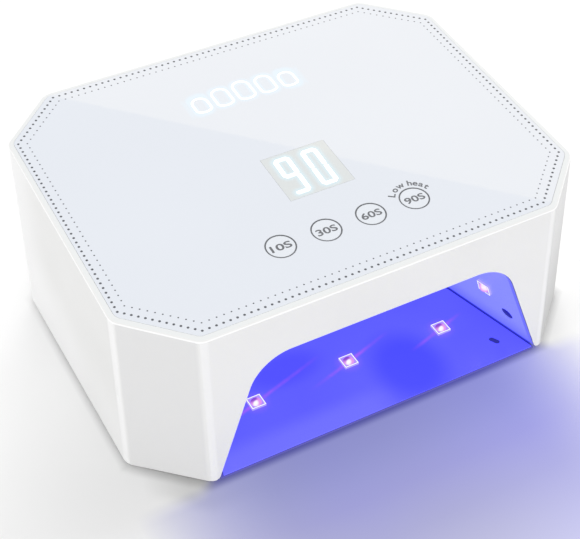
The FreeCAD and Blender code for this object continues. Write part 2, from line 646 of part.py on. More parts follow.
pierce = []
hole_half = 3.4
for i, frame in enumerate(ceiling_frames + side_frames[-1] + side_frames[1]):
    pierce.append(box("liner_led_hole_%d" % (i + 1), (2 * hole_half, 2 * hole_half, 6.0), (-hole_half, -hole_half, -2.0), frame))
SENSOR_Y, SENSOR_Z = -70.0, 14.8
sensor = side_frame(1, 0.0, y=SENSOR_Y, z=SENSOR_Z)
pierce.append(cylinder("sensor_window", 3.4, 8.0, (0, 0, -4.0), sensor))
for i, (bx, by) in enumerate(LINER_BOSSES):
    pierce.append(cylinder("liner_pilot_%d" % (i + 1), D["pilot_radius"], 9.0, (bx, by, floor_z.value - 0.5)))
reflector = cut("reflector_solid", cut("liner_hollow", liner_outside, cave), fuse("liner_openings", pierce))
part(reflector, "reflector")


# ---------------------------------------------------------------- LED packages and their lens domes

def led_set(name, frames, depth):
    """White square packages with a shallow tray, and a clear dome standing in each tray."""
    packages, lenses = [], []
    half = D["led_side"] / 2
    tray = 2.75
    for i, frame in enumerate(frames):
        tag = "%s_%d" % (name, i + 1)
        blank = box(tag + "_blank", (D["led_side"], D["led_side"], depth), (-half, -half, 0.0), frame)
        hollow = box(tag + "_tray", (2 * tray, 2 * tray, 2.0), (-tray, -tray, depth - D["led_recess"].value), frame)
        packages.append(cut(tag + "_package", blank, hollow))
        ball = doc.addObject("Part::Sphere", tag + "_ball")
        ball.Radius = 2.65
        ball.Placement = frame.multiply(Placement(Vector(0, 0, depth - D["led_recess"].value - 0.9), Rotation()))
        keep = box(tag + "_keep", (8.0, 8.0, 4.0), (-4.0, -4.0, depth - D["led_recess"].value), frame)
        lenses.append(common(tag + "_lens", ball, keep))
    part(group(name + "_package_set", packages), name + "_led_packages")
    part(group(name + "_lens_set", lenses), name + "_led_lenses")


stand = D["led_stand"].value
led_set("ceiling", ceiling_frames, D["liner_wall"].value + stand)
led_set("left", side_frames[-1], D["liner_wall"].value + stand)
led_set("right", side_frames[1], D["liner_wall"].value + stand)
led_set("base", floor_frames, D["mirror_thick"].value + stand)

# boards behind the LEDs
ceiling_z = D["cave_top"] + D["liner_wall"]
part(prism("ceiling_board_solid", [(-37, -62), (37, -62), (15, 30), (-15, 30)], ceiling_z, D["led_board_thick"]), "ceiling_led_board")
for sign, name in ((-1, "left"), (1, "right")):
    frame = side_frame(sign, 0.0)
    strip = box(name + "_board_solid", (106.0, 16.0, D["led_board_thick"]), (-8.0, -8.0, -D["led_board_thick"].value), frame)
    part(strip, name + "_led_board")
part(box("base_flex_solid", (104.0, 74.0, D["flex_thick"]), (-52.0, -60.0, floor_z.value)), "base_led_board")
part(box("heat_plate_solid", (28.0, 60.0, 2.0), (-14.0, -50.0, (ceiling_z + D["led_board_thick"]).value)), "ceiling_heat_plate")

# ---------------------------------------------------------------- base: mirror plate, steel plate, screws, feet

mirror = new_body("mirror_sheet")
low = floor_z + D["flex_thick"]
near, deep = 82.0, D["cave_back"] - D["mirror_gap"]
edge = lambda y: cave_half_at(y, low + D["mirror_thick"]) - D["mirror_gap"]
pad(mirror, "mirror_pad", outline(mirror, "mirror_outline", [(-edge(-near), -near), (edge(-near), -near), (edge(deep), deep), (-edge(deep), deep)],
                                  depth=low), D["mirror_thick"])
fillet(mirror, "mirror_corners", 9.0, lambda e: abs(e.BoundBox.ZLength - D["mirror_thick"].value) < 1e-6 and ends(e)[0].y > 0, 2)
mirror_holes = [box("mirror_led_hole_%d" % (i + 1), (2 * hole_half, 2 * hole_half, 4.0), (x - hole_half, y - hole_half, 1.0)) for i, (x, y) in enumerate(FLOOR)]


def slot(name, radius, run, height, z):
    """Round-ended oblong over the sensor's emitter, its length beside the near end of the right wall."""
    frame = Placement(Vector(63.1, -71.2, z), Rotation(Vector(0, 0, 1), -62))
    middle = box(name + "_middle", (2 * run, 2 * radius, height), (-run, -radius, 0.0), frame)
    return fuse(name, [middle] + [cylinder("%s_end_%d" % (name, i + 1), radius, height, (x, 0.0, 0.0), frame) for i, x in enumerate((-run, run))])


mirror_holes.append(slot("emitter_slot", 1.35, 1.25, 4.0, 1.0))
part(cut("mirror_solid", mirror, fuse("mirror_holes", mirror_holes)), "mirror_plate")

inset = D["wall"] + 0.6
px, py = base_x - inset, base_y - inset
pcx, pcy = base_cut_x - inset * SHARE_X, base_cut_y - inset * SHARE_Y
tongue, lip = 76.2, 82.05
plate_points = [(-(px - pcx), -py), (-tongue, -py), (-tongue, -lip), (tongue, -lip), (tongue, -py), (px - pcx, -py), (px, -(py - pcy)), (px, py - pcy),
                (px - pcx, py), (-(px - pcx), py), (-px, py - pcy), (-px, -(py - pcy))]
plate = prism("base_plate_blank", plate_points, D["foot_lift"], D["plate_thick"])
SCREWS = [(sx * D["column_along"].value, sy * D["column_across"].value) for sx in (-1, 1) for sy in (-1, 1)] + LINER_BOSSES
sinks = [cone("screw_sink_%d" % (i + 1), 2.85, 1.4, D["plate_thick"] + 0.0, (x, y, LIFT)) for i, (x, y) in enumerate(SCREWS)]
part(cut("base_plate_solid", plate, fuse("screw_sinks", sinks)), "base_plate")
base_screws = []
for i, (x, y) in enumerate(SCREWS):
    head = cone("base_screw_head_%d" % (i + 1), 2.75, 1.25, D["plate_thick"], (x, y, LIFT))
    shank = cylinder("base_screw_shank_%d" % (i + 1), D["screw_radius"], 8.0, (x, y, LIFT + D["plate_thick"].value))
    base_screws.append(fuse("base_screw_%d" % (i + 1), [head, shank]))
part(group("base_screw_set", base_screws), "base_screws")
FEET = [(-80.0, -69.0), (80.0, -69.0), (-80.0, 69.0), (80.0, 69.0)]
part(group("foot_set", [cylinder("foot_%d" % (i + 1), D["foot_radius"], D["foot_lift"], (x, y, 0.0)) for i, (x, y) in enumerate(FEET)]), "rubber_feet")

# ---------------------------------------------------------------- infrared hand sensor

part(slot("emitter_solid", 1.15, 1.25, 0.65, floor_z.value), "sensor_emitter")
part(cylinder("receiver_solid", 3.15, 7.0, (0, 0, -6.0), sensor), "sensor_receiver")
holder_blank = box("holder_blank", (9.6, 8.2, 4.0), (-4.8, -4.1, -4.0), sensor)
holder_bore = cylinder("holder_bore", 3.2, 8.0, (0, 0, -6.0), sensor)
part(cut("holder_solid", holder_blank, holder_bore), "sensor_holder")

# ---------------------------------------------------------------- driver board, its parts and the inlet jack

bz = 8.0                                     # underside of the driver board
bx0, bx1, by0, by1 = 58.5, 84.5, 5.0, 77.0
driver_blank = prism("driver_board_blank", [(bx0, by0), (bx1, by0), (bx1, 72.0), (80.5, by1), (bx0, by1)], bz, D["board_thick"])
POSTS = [(61.6, 8.5), (81.4, 8.5), (61.6, 58.0), (81.4, 58.0)]
part(cut("driver_board_solid", driver_blank, fuse("driver_board_holes", [cylinder("driver_hole_%d" % (i + 1), 1.3, 4.0, (x, y, bz - 1.0)) for i, (x, y) in enumerate(POSTS)])), "driver_board")
tubes = []
for i, (x, y) in enumerate(POSTS):
    tubes.append(cut("standoff_%d" % (i + 1), cylinder("standoff_body_%d" % (i + 1), 2.5, bz - floor_z.value, (x, y, floor_z.value)),
                     cylinder("standoff_bore_%d" % (i + 1), 1.05, 6.0, (x, y, bz - 5.0))))
part(group("standoff_set", tubes), "driver_standoffs")
top_z = bz + D["board_thick"].value
driver_screws = []
for i, (x, y) in enumerate(POSTS):
    head = cylinder("driver_screw_head_%d" % (i + 1), 2.2, 1.5, (x, y, top_z))
    shank = cylinder("driver_screw_shank_%d" % (i + 1), 1.0, 5.5, (x, y, top_z - 5.5))
    driver_screws.append(fuse("driver_screw_%d" % (i + 1), [head, shank]))
part(group("driver_screw_set", driver_screws), "driver_screws")

cans = []
for i, (x, y, r, h) in enumerate([(66.0, 47.0, 5.0, 16.0), (77.5, 47.0, 4.0, 12.0)]):
    cans.append(cylinder("can_%d" % (i + 1), r, h, (x, y, top_z)))
part(group("can_set", cans), "power_capacitors")
coil_body = new_body("inductor_form")
coil_section = outline(coil_body, "coil_section", [(2.2, 0), (6.5, 0), (6.5, 1.2), (5.4, 1.2), (5.4, 6.8), (6.5, 6.8), (6.5, 8.0), (2.2, 8.0)], plane="XZ_Plane")
spin = coil_body.newObject("PartDesign::Revolution", "coil_turn")
spin.Profile = coil_section
spin.ReferenceAxis = (coil_section, ["V_Axis"])
spin.Angle = 360.0
doc.recompute()
coil_body.Placement = Placement(Vector(71.5, 29.0, top_z), Rotation())
part(coil_body, "power_inductor")
part(group("driver_chip_set", [box("driver_chip_%d" % (i + 1), (6.5, 5.0, 1.7), (63.0 + 9.0 * i, 15.0, top_z)) for i in range(2)]), "driver_chips")
fins = [box("sink_base", (16.0, 6.0, 1.5), (63.5, 14.5, top_z + 1.7))] + [box("sink_fin_%d" % (i + 1), (1.2, 6.0, 6.0), (63.5 + 3.7 * i, 14.5, top_z + 3.0)) for i in range(5)]
part(fuse("sink_solid", fins), "heat_sink")
SOCKETS = [(60.2, 21.0), (60.2, 33.0)]
part(group("socket_set", [box("led_socket_%d" % (i + 1), (4.5, 7.5, 5.5), (x, y, top_z)) for i, (x, y) in enumerate(SOCKETS)]), "led_sockets")

jy, jz = D["jack_row"], D["jack_level"]
jack_box = box("jack_block", (9.0, 12.5, 10.9), (jy.value - 4.5, 66.8, top_z))
nose = cylinder("jack_nose", 4.2, 3.0, (jy.value, 79.0, jz.value), spin=Rotation(Vector(1, 0, 0), -90))
jack_bore = cylinder("jack_bore_tool", D["jack_bore"], 14.0, (jy.value, 72.2, jz.value), spin=Rotation(Vector(1, 0, 0), -90))
part(cut("jack_solid", fuse("jack_blank", [jack_box, nose]), jack_bore), "inlet_jack")
part(cylinder("jack_pin_solid", D["jack_pin"], 9.0, (jy.value, 72.2, jz.value), spin=Rotation(Vector(1, 0, 0), -90)), "jack_pin")


# ---------------------------------------------------------------- wiring: straight runs joined by tangent arcs

def tube(name, points, radius, bend):
    """Round lead along a route of straight runs; the corners are arcs."""
    points = [Vector(*p) for p in points]
    edges, start = [], points[0]
    for i in range(1, len(points) - 1):
        a = (points[i - 1] - points[i]).normalize()
        b = (points[i + 1] - points[i]).normalize()
        turn = math.pi - math.acos(max(-1.0, min(1.0, a.dot(b))))
        back = bend * math.tan(turn / 2.0)
        first, last = points[i] + a * back, points[i] + b * back
        mid = points[i] + (a + b).normalize() * (bend / math.cos(turn / 2.0) - bend)
        edges.append(Part.LineSegment(start, first).toShape())
        edges.append(Part.Arc(first, mid, last).toShape())
        start = last
    edges.append(Part.LineSegment(start, points[-1]).toShape())
    path = Part.Wire(edges)
    circle = Part.Wire([Part.Circle(points[0], points[1] - points[0], radius).toShape()])
    solid = path.makePipeShell([circle], True, False)
    expected = math.pi * radius ** 2 * path.Length
    if abs(solid.Volume - expected) > 0.02 * expected:
        raise RuntimeError("lead %s has volume %.3f, not %.3f" % (name, solid.Volume, expected))
    feature = doc.addObject("Part::Feature", name)
    feature.Shape = solid
    return feature


sock_top = top_z + 5.5
right_end = side_frame(1, 70.0, lift=D["led_board_thick"].value + 0.5).multVec(Vector(0, 3.0, 0))
left_end = side_frame(-1, 70.0, lift=D["led_board_thick"].value + 0.85).multVec(Vector(0, 3.0, 0))
leads = [
    tube("lead_right", [(62.4, 23.0, sock_top), (62.4, 23.0, sock_top + 9.0), (right_end.x + 7.0, right_end.y, right_end.z + 2.5), tuple(right_end)], 0.9, 2.5),
    tube("lead_ceiling", [(62.4, 26.4, sock_top), (62.4, 26.4, 66.0), (12.0, 26.4, 66.0), (12.0, 26.4, ceiling_z.value + 1.6)], 0.9, 2.5),
    tube("lead_left", [(62.4, 35.0, sock_top), (62.4, 35.0, 69.5), (-52.0, 35.0, 69.5), (-52.0, left_end.y, left_end.z + 8.0), tuple(left_end)], 0.9, 2.5),
    tube("lead_base", [(62.4, 38.6, sock_top), (62.4, 38.6, sock_top + 7.0), (53.5, 42.0, sock_top + 7.0), (53.5, 42.0, 4.6)], 0.9, 2.5),
]
part(group("lead_set", leads), "led_leads")
ribbon_low = TOP.multVec(Vector(31.0, 6.5, -bt.value - D["board_thick"].value - 5.65))
part(tube("ribbon_tube", [(79.5, 36.0, top_z), (79.5, 36.0, 58.0), (44.0, 28.0, 62.5), (31.0, ribbon_low.y, 62.5), tuple(ribbon_low)], 1.5, 3.0), "control_cable")

# ---------------------------------------------------------------- checks and export

doc.recompute()
for obj in doc.Objects:
    if "Invalid" in obj.State or "Error" in obj.State:
        raise RuntimeError("%s failed: %s" % (obj.Name, obj.State))
labels = [obj.Label for obj in NODES]
if len(set(labels)) != len(labels) or len(labels) > 60:
    raise RuntimeError("node names")
for obj in NODES:
    if obj.Shape.isNull() or not obj.Shape.isValid() or obj.Shape.Volume <= 0:
        raise RuntimeError("%s has no valid solid" % obj.Label)
os.makedirs("parts", exist_ok=True)
for obj in NODES:
    obj.Shape.exportStep("parts/%s.step" % obj.Label)
    b = obj.Shape.BoundBox
    print("%-22s solids %2d  volume %10.1f  x %7.2f..%7.2f  y %7.2f..%7.2f  z %6.2f..%6.2f" % (
        obj.Label, len(obj.Shape.Solids), obj.Shape.Volume, b.XMin, b.XMax, b.YMin, b.YMax, b.ZMin, b.ZMax))
print("nodes", len(NODES))
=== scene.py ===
import math

import bmesh
import bpy
from mathutils import Matrix, Vector


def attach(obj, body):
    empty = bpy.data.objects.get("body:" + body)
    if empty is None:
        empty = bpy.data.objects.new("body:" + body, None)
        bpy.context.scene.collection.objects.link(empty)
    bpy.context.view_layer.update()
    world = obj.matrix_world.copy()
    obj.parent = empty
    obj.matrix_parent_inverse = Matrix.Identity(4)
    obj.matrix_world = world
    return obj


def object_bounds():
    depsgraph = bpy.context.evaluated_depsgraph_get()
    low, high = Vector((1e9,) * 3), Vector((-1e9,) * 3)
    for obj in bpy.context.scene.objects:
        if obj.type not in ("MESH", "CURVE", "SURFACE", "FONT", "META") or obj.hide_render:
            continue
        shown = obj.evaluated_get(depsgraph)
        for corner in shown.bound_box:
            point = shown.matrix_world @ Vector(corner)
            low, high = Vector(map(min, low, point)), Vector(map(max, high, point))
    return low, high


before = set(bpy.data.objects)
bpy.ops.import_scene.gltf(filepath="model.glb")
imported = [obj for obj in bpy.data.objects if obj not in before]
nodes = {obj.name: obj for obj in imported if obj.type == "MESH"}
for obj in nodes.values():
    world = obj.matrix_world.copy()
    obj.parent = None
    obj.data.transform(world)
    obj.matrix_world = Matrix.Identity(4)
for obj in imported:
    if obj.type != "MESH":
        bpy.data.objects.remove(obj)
cad_low, cad_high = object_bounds()
scene = bpy.context.scene
MM = 0.001

# ---------------------------------------------------------------- camera

azimuth, elevation, roll = math.radians(-27.30), math.radians(41.97), math.radians(-1.16)
back = Vector((math.sin(azimuth) * math.cos(elevation), -math.cos(azimuth) * math.cos(elevation), math.sin(elevation)))
forward = -back
right = forward.cross(Vector((0, 0, 1))).normalized()
up = right.cross(forward)
side_axis = right * math.cos(roll) + up * math.sin(roll)
up_axis = up * math.cos(roll) - right * math.sin(roll)
camera_data = bpy.data.cameras.new("camera")
camera_data.lens = 82.18
camera_data.sensor_width = 36.0
camera_data.clip_start, camera_data.clip_end = 0.05, 60.0
camera = bpy.data.objects.new("camera", camera_data)
scene.collection.objects.link(camera)
turn = Matrix((side_axis, up_axis, back)).transposed().to_4x4()
camera.matrix_world = Matrix.Translation((-0.20648, -0.39766, 0.41915)) @ turn
scene.camera = camera

# ---------------------------------------------------------------- frames of the lamp's own faces

SLOPE = math.radians(4.686)
TOP = Matrix.Translation((0, 0, 0.08464)) @ Matrix.Rotation(SLOPE, 4, "X")   # the glossy face is local z = 0
KEYS = [("10s", -30.645), ("30s", -10.215), ("60s", 10.215), ("90s", 30.645)]
KEY_ROW = -49.67


def linear(r, g, b):
    """Display values 0-255 as scene colour."""
    out = []
    for c in (r, g, b):
        c = c / 255.0
        out.append(c / 12.92 if c <= 0.04045 else ((c + 0.055) / 1.055) ** 2.4)
    return tuple(out)


# ---------------------------------------------------------------- material helpers

class Tree:
    def __init__(self, name):
        self.material = bpy.data.materials.new(name)
        self.material.use_nodes = True
        self.tree = self.material.node_tree
        self.tree.nodes.clear()
        self.out = self.tree.nodes.new("ShaderNodeOutputMaterial")

    def node(self, kind, **settings):
        n = self.tree.nodes.new(kind)
        for key, value in settings.items():
            setattr(n, key, value)
        return n

    def link(self, a, b):
        self.tree.links.new(a, b)

    def feed(self, socket, value):
        if isinstance(value, bpy.types.NodeSocket):
            self.link(value, socket)
        elif value is not None:
            if socket.type == "RGBA" and len(value) == 3:
                value = (*value, 1.0)
            socket.default_value = value

    def place(self):
        if not hasattr(self, "_place"):
            self._place = self.node("ShaderNodeTexCoord").outputs["Object"]
        return self._place

    def math(self, operation, a, b=None, c=None, clamp=False):
        n = self.node("ShaderNodeMath", operation=operation, use_clamp=clamp)
        for i, value in enumerate((a, b, c)):
            if value is not None:
                self.feed(n.inputs[i], value)
        return n.outputs[0]

    def vector(self, operation, a, b=None):
        n = self.node("ShaderNodeVectorMath", operation=operation)
        self.feed(n.inputs[0], a)
        if b is not None:
            self.feed(n.inputs[1], b)
        return n.outputs["Value"] if operation in ("LENGTH", "DISTANCE", "DOT_PRODUCT") else n.outputs[0]

    def split(self, vector):
        n = self.node("ShaderNodeSeparateXYZ")
        self.link(vector, n.inputs[0])
        return n.outputs[0], n.outputs[1], n.outputs[2]

    def join(self, x, y, z):
        n = self.node("ShaderNodeCombineXYZ")
        for i, value in enumerate((x, y, z)):
            self.feed(n.inputs[i], value)
        return n.outputs[0]

    def smooth(self, value, low, high, to_low=0.0, to_high=1.0):
        n = self.node("ShaderNodeMapRange", interpolation_type="SMOOTHSTEP")
        for i, v in enumerate((value, low, high, to_low, to_high)):
            self.feed(n.inputs[i], v)
        return n.outputs[0]

    def mix(self, factor, a, b):
        n = self.node("ShaderNodeMix", data_type="RGBA")
        self.feed(n.inputs[0], factor)
        self.feed(n.inputs[6], a)
        self.feed(n.inputs[7], b)
        return n.outputs[2]

    def mix_value(self, factor, a, b):
        """Number a where factor is 0, b where it is 1."""
        return self.math("ADD", self.math("MULTIPLY", a, self.math("SUBTRACT", 1.0, factor)), self.math("MULTIPLY", b, factor))

    def tinted(self, colour, factors):
        n = self.node("ShaderNodeMix", data_type="RGBA", blend_type="MULTIPLY")
        n.inputs[0].default_value = 1.0
        self.feed(n.inputs[6], colour)
        self.feed(n.inputs[7], factors)
        return n.outputs[2]

    def noise(self, scale, detail=2.0, roughness=0.5, vector=None, distortion=0.0):
        n = self.node("ShaderNodeTexNoise")
        self.link(vector if vector is not None else self.place(), n.inputs["Vector"])
        n.inputs["Scale"].default_value = scale
        n.inputs["Detail"].default_value = detail
        n.inputs["Roughness"].default_value = roughness
        n.inputs["Distortion"].default_value = distortion
        return n.outputs["Fac"] if "Fac" in n.outputs else n.outputs[0]

    def bump(self, height, strength, distance, normal=None):
        n = self.node("ShaderNodeBump")
        self.feed(n.inputs["Strength"], strength)
        n.inputs["Distance"].default_value = distance
        self.link(height, n.inputs["Height"])
        if normal is not None:
            self.link(normal, n.inputs["Normal"])
        return n.outputs[0]

    def principled(self, **values):
        n = self.node("ShaderNodeBsdfPrincipled")
        for key, value in values.items():
            if value is not None:
                self.feed(n.inputs[key.replace("_", " ")], value)
        return n

    def finish(self, shader):
        self.link(shader, self.out.inputs[0])
        return self.material


def moulded(name, colour, rough=0.4, vary=0.03, grain=1800.0, relief=0.08, depth=0.00004, coat=0.0, metallic=0.0, specular=0.5, rough_vary=0.06, broad=60.0):
    """Moulded or rolled surface: broad tone drift, fine grain in the roughness and a little relief."""
    t = Tree(name)
    drift = t.noise(broad, 3.0, 0.55)
    fine = t.noise(grain, 2.0, 0.6)
    dark = tuple(c * (1.0 - vary) for c in colour)
    light = tuple(min(1.0, c * (1.0 + vary)) for c in colour)
    base = t.mix(t.smooth(drift, 0.3, 0.7), dark, light)
    roughness = t.math("ADD", t.math("MULTIPLY", fine, 2.0 * rough_vary), rough - rough_vary)
    b = t.principled(Base_Color=base, Roughness=roughness, Metallic=metallic, Specular_IOR_Level=specular, Coat_Weight=coat, Coat_Roughness=0.06)
    t.link(t.bump(fine, relief, depth), b.inputs["Normal"])
    return t.finish(b.outputs[0])


def brushed(name, colour, rough=0.3, along="X", vary=0.08, metallic=1.0):
    """Metal with fine lines along one axis."""
    t = Tree(name)
    x, y, z = t.split(t.place())
    slow, fast = 30.0, 4200.0
    parts = [t.math("MULTIPLY", v, slow if axis == along else fast) for axis, v in (("X", x), ("Y", y), ("Z", z))]
    lines = t.noise(1.0, 2.0, 0.6, vector=t.join(*parts))
    base = t.mix(lines, tuple(c * (1 - vary) for c in colour), tuple(min(1.0, c * (1 + vary)) for c in colour))
    b = t.principled(Base_Color=base, Metallic=metallic, Roughness=t.math("ADD", t.math("MULTIPLY", lines, 0.16), rough - 0.08))
    t.link(t.bump(lines, 0.06, 0.00002), b.inputs["Normal"])
    return t.finish(b.outputs[0])


def board(name, mask_colour, copper):
    """Circuit board: solder mask over a grid of tracks."""
    t = Tree(name)
    cells = t.node("ShaderNodeTexVoronoi", feature="DISTANCE_TO_EDGE", distance="MANHATTAN")
    t.link(t.place(), cells.inputs["Vector"])
    cells.inputs["Scale"].default_value = 260.0
    track = t.smooth(cells.outputs["Distance"], 0.02, 0.05, 1.0, 0.0)
    weave = t.noise(1500.0, 2.0)
    base = t.mix(t.math("MULTIPLY", track, 0.55), t.mix(weave, mask_colour, tuple(c * 0.8 for c in mask_colour)), copper)
    b = t.principled(Base_Color=base, Roughness=0.35, Specular_IOR_Level=0.5)
    t.link(t.bump(track, 0.3, 0.00003), b.inputs["Normal"])
    return t.finish(b.outputs[0])


def glow(name, colour, strength=1.0, base=None, rough=0.3, vary=0.05, grain=900.0):
    """Lit plastic or phosphor: emission with a little grain."""
    t = Tree(name)
    fine = t.noise(grain, 2.0)
    tint = t.mix(fine, tuple(c * (1 - vary) for c in colour), colour)
    b = t.principled(Base_Color=base or tuple(c * 0.5 for c in colour), Roughness=rough, Emission_Color=tint, Emission_Strength=strength)
    return t.finish(b.outputs[0])


def panel_space(t):
    """Coordinates on the sloping panel, in millimetres, from the row frame."""
    x, y, z = t.split(t.place())
    px = t.math("MULTIPLY", x, 1000.0)
    down = t.math("SUBTRACT", z, 0.08464)
    py = t.math("MULTIPLY", t.math("ADD", t.math("MULTIPLY", y, math.cos(SLOPE)), t.math("MULTIPLY", down, math.sin(SLOPE))), 1000.0)
    return px, py


def capsule_distance(t, px, py, a, b):
    """Distance in mm from a point to the segment a-b."""
    ax, ay = a
    bx, by = b
    dx, dy = bx - ax, by - ay
    span = dx * dx + dy * dy
    rx, ry = t.math("SUBTRACT", px, ax), t.math("SUBTRACT", py, ay)
    along = t.math("ADD", t.math("MULTIPLY", rx, dx / span), t.math("MULTIPLY", ry, dy / span), clamp=True)
    ex = t.math("SUBTRACT", rx, t.math("MULTIPLY", along, dx))
    ey = t.math("SUBTRACT", ry, t.math("MULTIPLY", along, dy))
    return t.math("SQRT", t.math("ADD", t.math("MULTIPLY", ex, ex), t.math("MULTIPLY", ey, ey)))


def least(t, values):
    out = values[0]
    for v in values[1:]:
        out = t.math("MINIMUM", out, v)
    return out


# ---------------------------------------------------------------- shapes of the lit digits and of the emblem

def digit_segments(cx, lit):
    """Centrelines of a seven-bar digit, a little slanted, in panel millimetres."""
    half, top, mid, low = 2.85, -4.75, -15.15, -25.65
    lean = 0.03
    def at(x, y):
        return (cx + x + lean * (y - mid), y)
    gap = 0.55
    plan = {
        "a": (at(-half + 0.75, top), at(half - 0.75, top)), "g": (at(-half + 0.75, mid), at(half - 0.75, mid)), "d": (at(-half + 0.75, low), at(half - 0.75, low)),
        "f": (at(-half, top - 0.75), at(-half, mid + gap + 0.45)), "b": (at(half, top - 0.75), at(half, mid + gap + 0.45)),
        "e": (at(-half, mid - gap - 0.45), at(-half, low + 0.75)), "c": (at(half, mid - gap - 0.45), at(half, low + 0.75)),
    }
    return [plan[k] for k in lit]


DIGITS = digit_segments(-7.25, "abcdfg") + digit_segments(5.55, "abcdef")


def nail_outline(cx, cy, wide, tall, steps=14):
    """Closed outline of a finger nail: straight sides, arched tip, shallower arch at the root."""
    points = []
    w = wide / 2
    tip, root = 0.95 * w, 0.55 * w
    y_top, y_low = cy + tall / 2 - tip, cy - tall / 2 + root
    for i in range(steps + 1):
        a = math.pi * i / steps
        points.append((cx + w * math.cos(a), y_top + tip * math.sin(a)))
    for i in range(steps + 1):
        a = math.pi + math.pi * i / steps
        points.append((cx + w * math.cos(a), y_low + root * math.sin(a)))
    return points


NAIL_ROW, NAIL_PITCH = 43.15, 10.75
NAILS = [nail_outline(NAIL_PITCH * i + dx, NAIL_ROW + dy, wide, tall) for i, dx, dy, wide, tall in
         ((-2, 0.35, -0.9, 7.0, 9.6), (-1, 0.1, 0.25, 7.4, 11.6), (0, 0.0, 0.65, 7.6, 12.4), (1, -0.1, 0.25, 7.4, 11.6), (2, -0.35, -0.9, 7.0, 9.6))]

# ---------------------------------------------------------------- materials

# the corner tone is painted shade for the slanting corner walls
SHELL_LOW, SHELL_HIGH, SHELL_CORNER_SHADE, SHELL_BEVEL = (231, 231, 230), (234, 234, 233), (224, 224, 224), (228, 230, 230)


def shell_material():
    """Satin moulded shell. Faces differ a little in tone: painted shade on the slanting corner walls, painted light on
    the left wall, painted highlights along the rounded edges and the rim, and painted violet light glowing at the mouth
    of the cavity.
    """
    t = Tree("shell_white")
    drift = t.noise(18.0, 3.0, 0.5)
    fine = t.noise(2600.0, 2.0, 0.6)
    x, y, z = t.split(t.place())
    nx, ny, nz = t.split(t.node("ShaderNodeNewGeometry").outputs["Normal"])
    base = t.mix(t.smooth(drift, 0.3, 0.7), linear(*SHELL_LOW), linear(*SHELL_HIGH))
    # 1 on the four slanting corner walls, 0 on the flat walls, between them on the rounded edges
    slant = t.math("MULTIPLY", t.math("ABSOLUTE", t.math("MULTIPLY", nx, ny)), 2.0)
    to_right = t.math("MULTIPLY", t.smooth(nx, 0.3, 0.6), t.smooth(ny, -0.3, -0.6))
    # painted shade: the slanting corner walls darker, the right front one darker still towards its foot
    corner = t.mix(to_right, linear(*SHELL_CORNER_SHADE), t.mix(t.smooth(z, 0.0, 0.075), linear(194, 194, 194), linear(220, 220, 220)))
    # painted light: the left wall lighter towards the back
    base = t.mix(t.math("MULTIPLY", t.smooth(nx, -0.85, -0.95), t.smooth(y, 0.015, 0.06)), base, linear(246, 246, 246))
    # painted light: the left wall lighter near its foot, half as much towards the front
    low = t.math("MULTIPLY", t.smooth(z, 0.052, 0.012), t.smooth(y, -0.030, 0.005, 0.5, 1.0))
    base = t.mix(t.math("MULTIPLY", t.smooth(nx, -0.85, -0.95), low), base, linear(245, 245, 245))
    # the slanting walls take the painted corner shade; the painted highlight on the rounded edges is broad and soft
    # beside the side walls, narrow beside the front, and a thin line at the right of the front
    frontal = t.smooth(t.math("SUBTRACT", t.math("ABSOLUTE", ny), t.math("ABSOLUTE", nx)), -0.1, 0.1)
    rightward = t.math("MULTIPLY", frontal, t.smooth(nx, 0.0, 0.05))
    base = t.mix(t.mix_value(rightward, t.smooth(slant, 0.90, 0.995), t.smooth(slant, 0.45, 0.85)), base, corner)
    fall = t.mix_value(frontal, t.smooth(slant, 0.78, 0.999, 1.0, 0.0), t.smooth(slant, 0.76, 0.90, 1.0, 0.0))
    fall = t.mix_value(rightward, fall, t.smooth(slant, 0.40, 0.85, 1.0, 0.0))
    edge_highlight = t.math("MULTIPLY", t.smooth(slant, 0.06, 0.3), fall)
    edge_highlight = t.math("MULTIPLY", edge_highlight, t.smooth(t.math("ABSOLUTE", nz), 0.3, 0.5, 1.0, 0.0))
    base = t.mix(edge_highlight, base, t.mix(frontal, linear(245, 245, 245), linear(240, 240, 240)))
    # painted highlight on the outer rounding of the rim; the bevel round the panel is a shade cooler and darker than
    # that rounding
    upper = t.smooth(z, 0.070, 0.072)
    round_over = t.math("MULTIPLY", upper, t.math("MULTIPLY", t.smooth(nz, 0.15, 0.35), t.smooth(nz, 0.6, 0.8, 1.0, 0.0)))
    base = t.mix(round_over, base, linear(254, 254, 254))
    base = t.mix(t.math("MULTIPLY", upper, t.smooth(nz, 0.93, 0.965)), base, linear(*SHELL_BEVEL))
    # the wall thickness round the hand opening: violet-tinted painted shade on its faces turned sideways, and painted
    # violet light glowing from those turned further into the cavity
    inside = t.math("MULTIPLY", t.smooth(t.math("ABSOLUTE", x), 0.0775, 0.0785, 1.0, 0.0), t.smooth(y, -0.078, -0.074, 1.0, 0.0))
    inside = t.math("MULTIPLY", inside, t.smooth(z, 0.0625, 0.064, 1.0, 0.0))
    turned = t.math("MULTIPLY", inside, t.smooth(ny, -0.93, -0.7))
    base = t.mix(turned, base, linear(70, 71, 96))
    deep = t.math("MULTIPLY", inside, t.smooth(ny, -0.62, -0.4))
    b = t.principled(Emission_Color=linear(108, 112, 246), Emission_Strength=t.math("MULTIPLY", deep, 0.85), Base_Color=base, Roughness=t.math("ADD", t.math("MULTIPLY", fine, 0.08), 0.34), Specular_IOR_Level=0.4)
    t.link(t.bump(fine, 0.05, 0.00003), b.inputs["Normal"])
    return t.finish(b.outputs[0])


